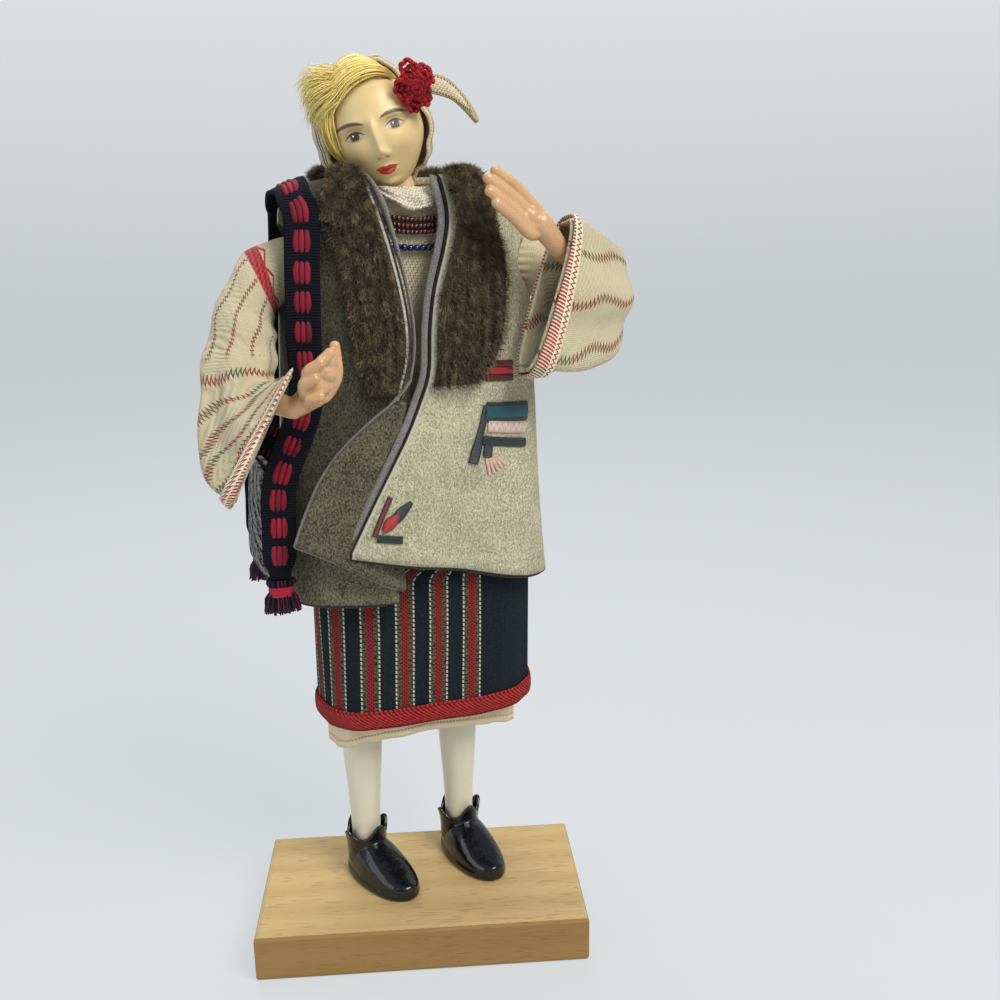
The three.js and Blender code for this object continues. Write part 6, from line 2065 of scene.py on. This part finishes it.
bag_wool = Finish("bag_weave", 0.9, Specular_IOR_Level=0.2)
u, v = bag_wool.cut()
twist = bag_wool.grain((u * 0.3, v * 0.3), 2.0) * 0.8
rise = ((u * 0.72 + v) / 1.9 + twist * 0.12).wave(1.0)
ply = (u - v * 1.4).wave(0.62)
light = ((u * 0.72 + v) / 3.8 + twist * 0.12).fract().over(0.5, 0.06)
turned = (v / BAG_BAND).fract().over(0.5, 0.02)
light = (light * 2 - 1) * (turned * 2 - 1) * 0.5 + 0.5
speck = bag_wool.grain((u * 1.1, v * 1.1), 2.0).over(0.5, 0.06)
pale = (light * 0.55 + speck * 0.5) * ply.over(0.25, 0.3)
tone = bag_wool.mix(pale, (14, 16, 18), (190, 189, 182))
bag_finish = bag_wool.done(tone, 0.9, bag_wool.bump(rise + ply * 0.7, 0.45))
bag = settle(
    cloth("bag_pouch", 128, 64, bag_place, 0.9, around=True),
    bag_finish, "figure", ["bag"],
)

STRAP_X = BAG_X + 2
STRAP_WIDTH = 7.5
STRAP_HALF = 0.45
STRAP_STEPS = 400
STRAP_EDGE = BAG_WIDTH / 2 + FIT + STRAP_HALF + 0.2
STRAP_END = Vector((STRAP_X - 0.4, STRAP_EDGE, BAG_BOTTOM + 1))


def on_vest(q, turn, side, out):
    normal = Vector(out).normalized()
    stand = FIT + STRAP_HALF + 0.3 + abs(normal.y)
    return vest.at(q, side * (math.pi - turn)) + normal * stand, normal


def strap_run(side):
    edge, middle = side * STRAP_EDGE, mix(BAG_BOTTOM, BAG_TOP, 0.5)
    run = [
        (Vector((STRAP_END.x, edge, STRAP_END.z)), Vector((-0.15, side, 0))),
        (Vector((STRAP_X, edge, middle)), Vector((-0.15, side, 0))),
        (Vector((STRAP_X + 1, edge, BAG_TOP - 1)), Vector((-0.2, side, 0))),
    ]
    run += [on_vest(q, 0.6, side, (-0.35, side * 0.94, 0)) for q in (0.55, 0.72, 0.86, 1)]
    run.append(on_vest(1.18, 0.5, side, (-0.45, side * 0.7, 0.5)))
    run.append(on_vest(1.34, 0.26, side, (-0.4, side * 0.3, 0.85)))
    return run


stations = [*strap_run(-1), on_vest(1.38, 0, 1, (-0.4, 0, 0.9)), *reversed(strap_run(1))]
strap_middle = smooth_path([at for at, _ in stations], STRAP_STEPS + 1)
strap_out = smooth_path([out for _, out in stations], STRAP_STEPS + 1)
strap_along = np.gradient(strap_middle, axis=0)


def strap_place(s, t):
    i = round(t * STRAP_STEPS)
    out = Vector(strap_out[i]).normalized()
    width = out.cross(Vector(strap_along[i])).normalized()
    across = STRAP_WIDTH * mix(0.6, 1, soft(min(t, 1 - t), 0, 0.03))
    return Vector(strap_middle[i]) + width * (s - 0.5) * across + out * STRAP_HALF


strap_wool = Finish("strap_weave", 0.9, Specular_IOR_Level=0.15)
u, v = strap_wool.cut()
rib = v.wave(0.62)
tone = strap_wool.mix(rib * 0.6, (8, 9, 15), (24, 26, 38))
strap_finish = strap_wool.done(tone, 0.85, strap_wool.bump(rib, 0.15))
webbing = dressed(cloth("strap_cloth", 16, STRAP_STEPS, strap_place, 0.85), strap_finish)

crimson = Finish("crimson_wool", 0.75, Specular_IOR_Level=0.3)
tint, along = crimson.cut("strand")
fibre = crimson.speckle(5.0, 2.0)
tone = crimson.mix(tint * 0.4 + fibre * 0.5, (74, 6, 22), (168, 32, 58))
crimson_finish = crimson.done(tone, 0.7)
strap_run_mm = np.cumsum(np.linalg.norm(np.diff(strap_middle, axis=0, prepend=strap_middle[:1]), axis=1))
FLOAT_STEP, FLOAT_LENGTH, FLOAT_POINTS, LANE = 6.3, 5.3, 9, 1.25


def float_point(start, lane, t):
    """A place on a crimson thread that floats over the strap, bowed up and out in its middle."""
    bow = max(0.0, math.sin(math.pi * t))
    share = float(np.interp(start + t * FLOAT_LENGTH, strap_run_mm, np.linspace(0, 1, STRAP_STEPS + 1)))
    out = Vector(strap_out[int(share * STRAP_STEPS)]).normalized()
    across = lane * LANE * (0.8 + 0.2 * bow) / STRAP_WIDTH
    return strap_place(0.5 + across, share) + out * (0.3 + 0.35 * bow ** 0.5)


floats = np.array([
    [float_point(start, lane, t) for t in np.linspace(0, 1, FLOAT_POINTS)]
    for start in np.arange(3, strap_run_mm[-1] - 8, FLOAT_STEP) for lane in (-1, 0, 1)
])
swell = 0.3 + 0.42 * np.sin(np.linspace(0, math.pi, FLOAT_POINTS)).clip(0) ** 0.5
weft = strands("strap_floats", floats, np.tile(swell, (len(floats), 1)), 8)
strap = joined("strap_webbing", [webbing, dressed(weft, crimson_finish)])
settle(strap, None, "figure", ["bag_strap"])
declare(bag)

# %% [markdown]
# A tassel is a bunch of cut threads with a tight knot at its top.

# %% Tassels
TASSEL_LENGTH = 8
TASSEL_THREADS = 230
TASSEL_STEPS = 9
WRAP_STEPS = 240
tassel_wool = Finish("tassel_wool", 0.85, Specular_IOR_Level=0.2)
tint, along = tassel_wool.cut("strand")
tone = tassel_wool.mix(tint.over(0.62, 0.05), (16, 16, 24), (52, 46, 62))
tone = tassel_wool.mix(tint.over(0.87, 0.04), tone, (118, 26, 62))
tone = tassel_wool.mix(along.over(0.9, 0.2) * 0.3, tone, (80, 74, 88))
tassel_finish = tassel_wool.done(tone, 0.85)


def tassel(name, side):
    top = Vector((STRAP_END.x, side * STRAP_END.y, STRAP_END.z - FIT))
    paths = np.zeros((TASSEL_THREADS, TASSEL_STEPS, 3))
    for thread in paths:
        turn, share = rng.random() * math.tau, math.sqrt(rng.random())
        length = TASSEL_LENGTH * (0.82 + 0.18 * rng.random())
        for j, t in enumerate(np.linspace(0, 1, TASSEL_STEPS)):
            half = float(np.interp(t, (0, 0.18, 0.3, 0.6, 1), (3.0, 3.4, 2.1, 3.6, 4.1))) * share
            wave = 0.16 * math.sin(9 * t + turn * 3)
            thread[j] = (
                top.x + (half + wave) * math.cos(turn),
                top.y + 0.5 * (half + wave) * math.sin(turn),
                top.z - t * length,
            )
    piece = strands(name, paths, np.full((TASSEL_THREADS, TASSEL_STEPS), 0.2), 5)
    wraps = []
    for t in np.linspace(0, 1, WRAP_STEPS + 1):
        turn = t * 4 * math.tau
        wraps.append((
            top.x + 2.45 * math.cos(turn),
            top.y + 1.35 * math.sin(turn),
            top.z - TASSEL_LENGTH * 0.2 - t * 2.2,
        ))
    knot = tube(f"{name}_knot", wraps, 0.42, 8)
    return joined(name, [dressed(piece, tassel_finish), dressed(knot, crimson_finish, "strand")])


settle(tassel("tassel_of_the_front", -1), None, "figure", ["tassel_front"])
settle(tassel("tassel_of_the_back", 1), None, "figure", ["tassel_back"])

# %% [markdown]
# The plain view transform shows every colour as it is written.

# %% Finish
bpy.context.scene.view_settings.view_transform = "Standard"
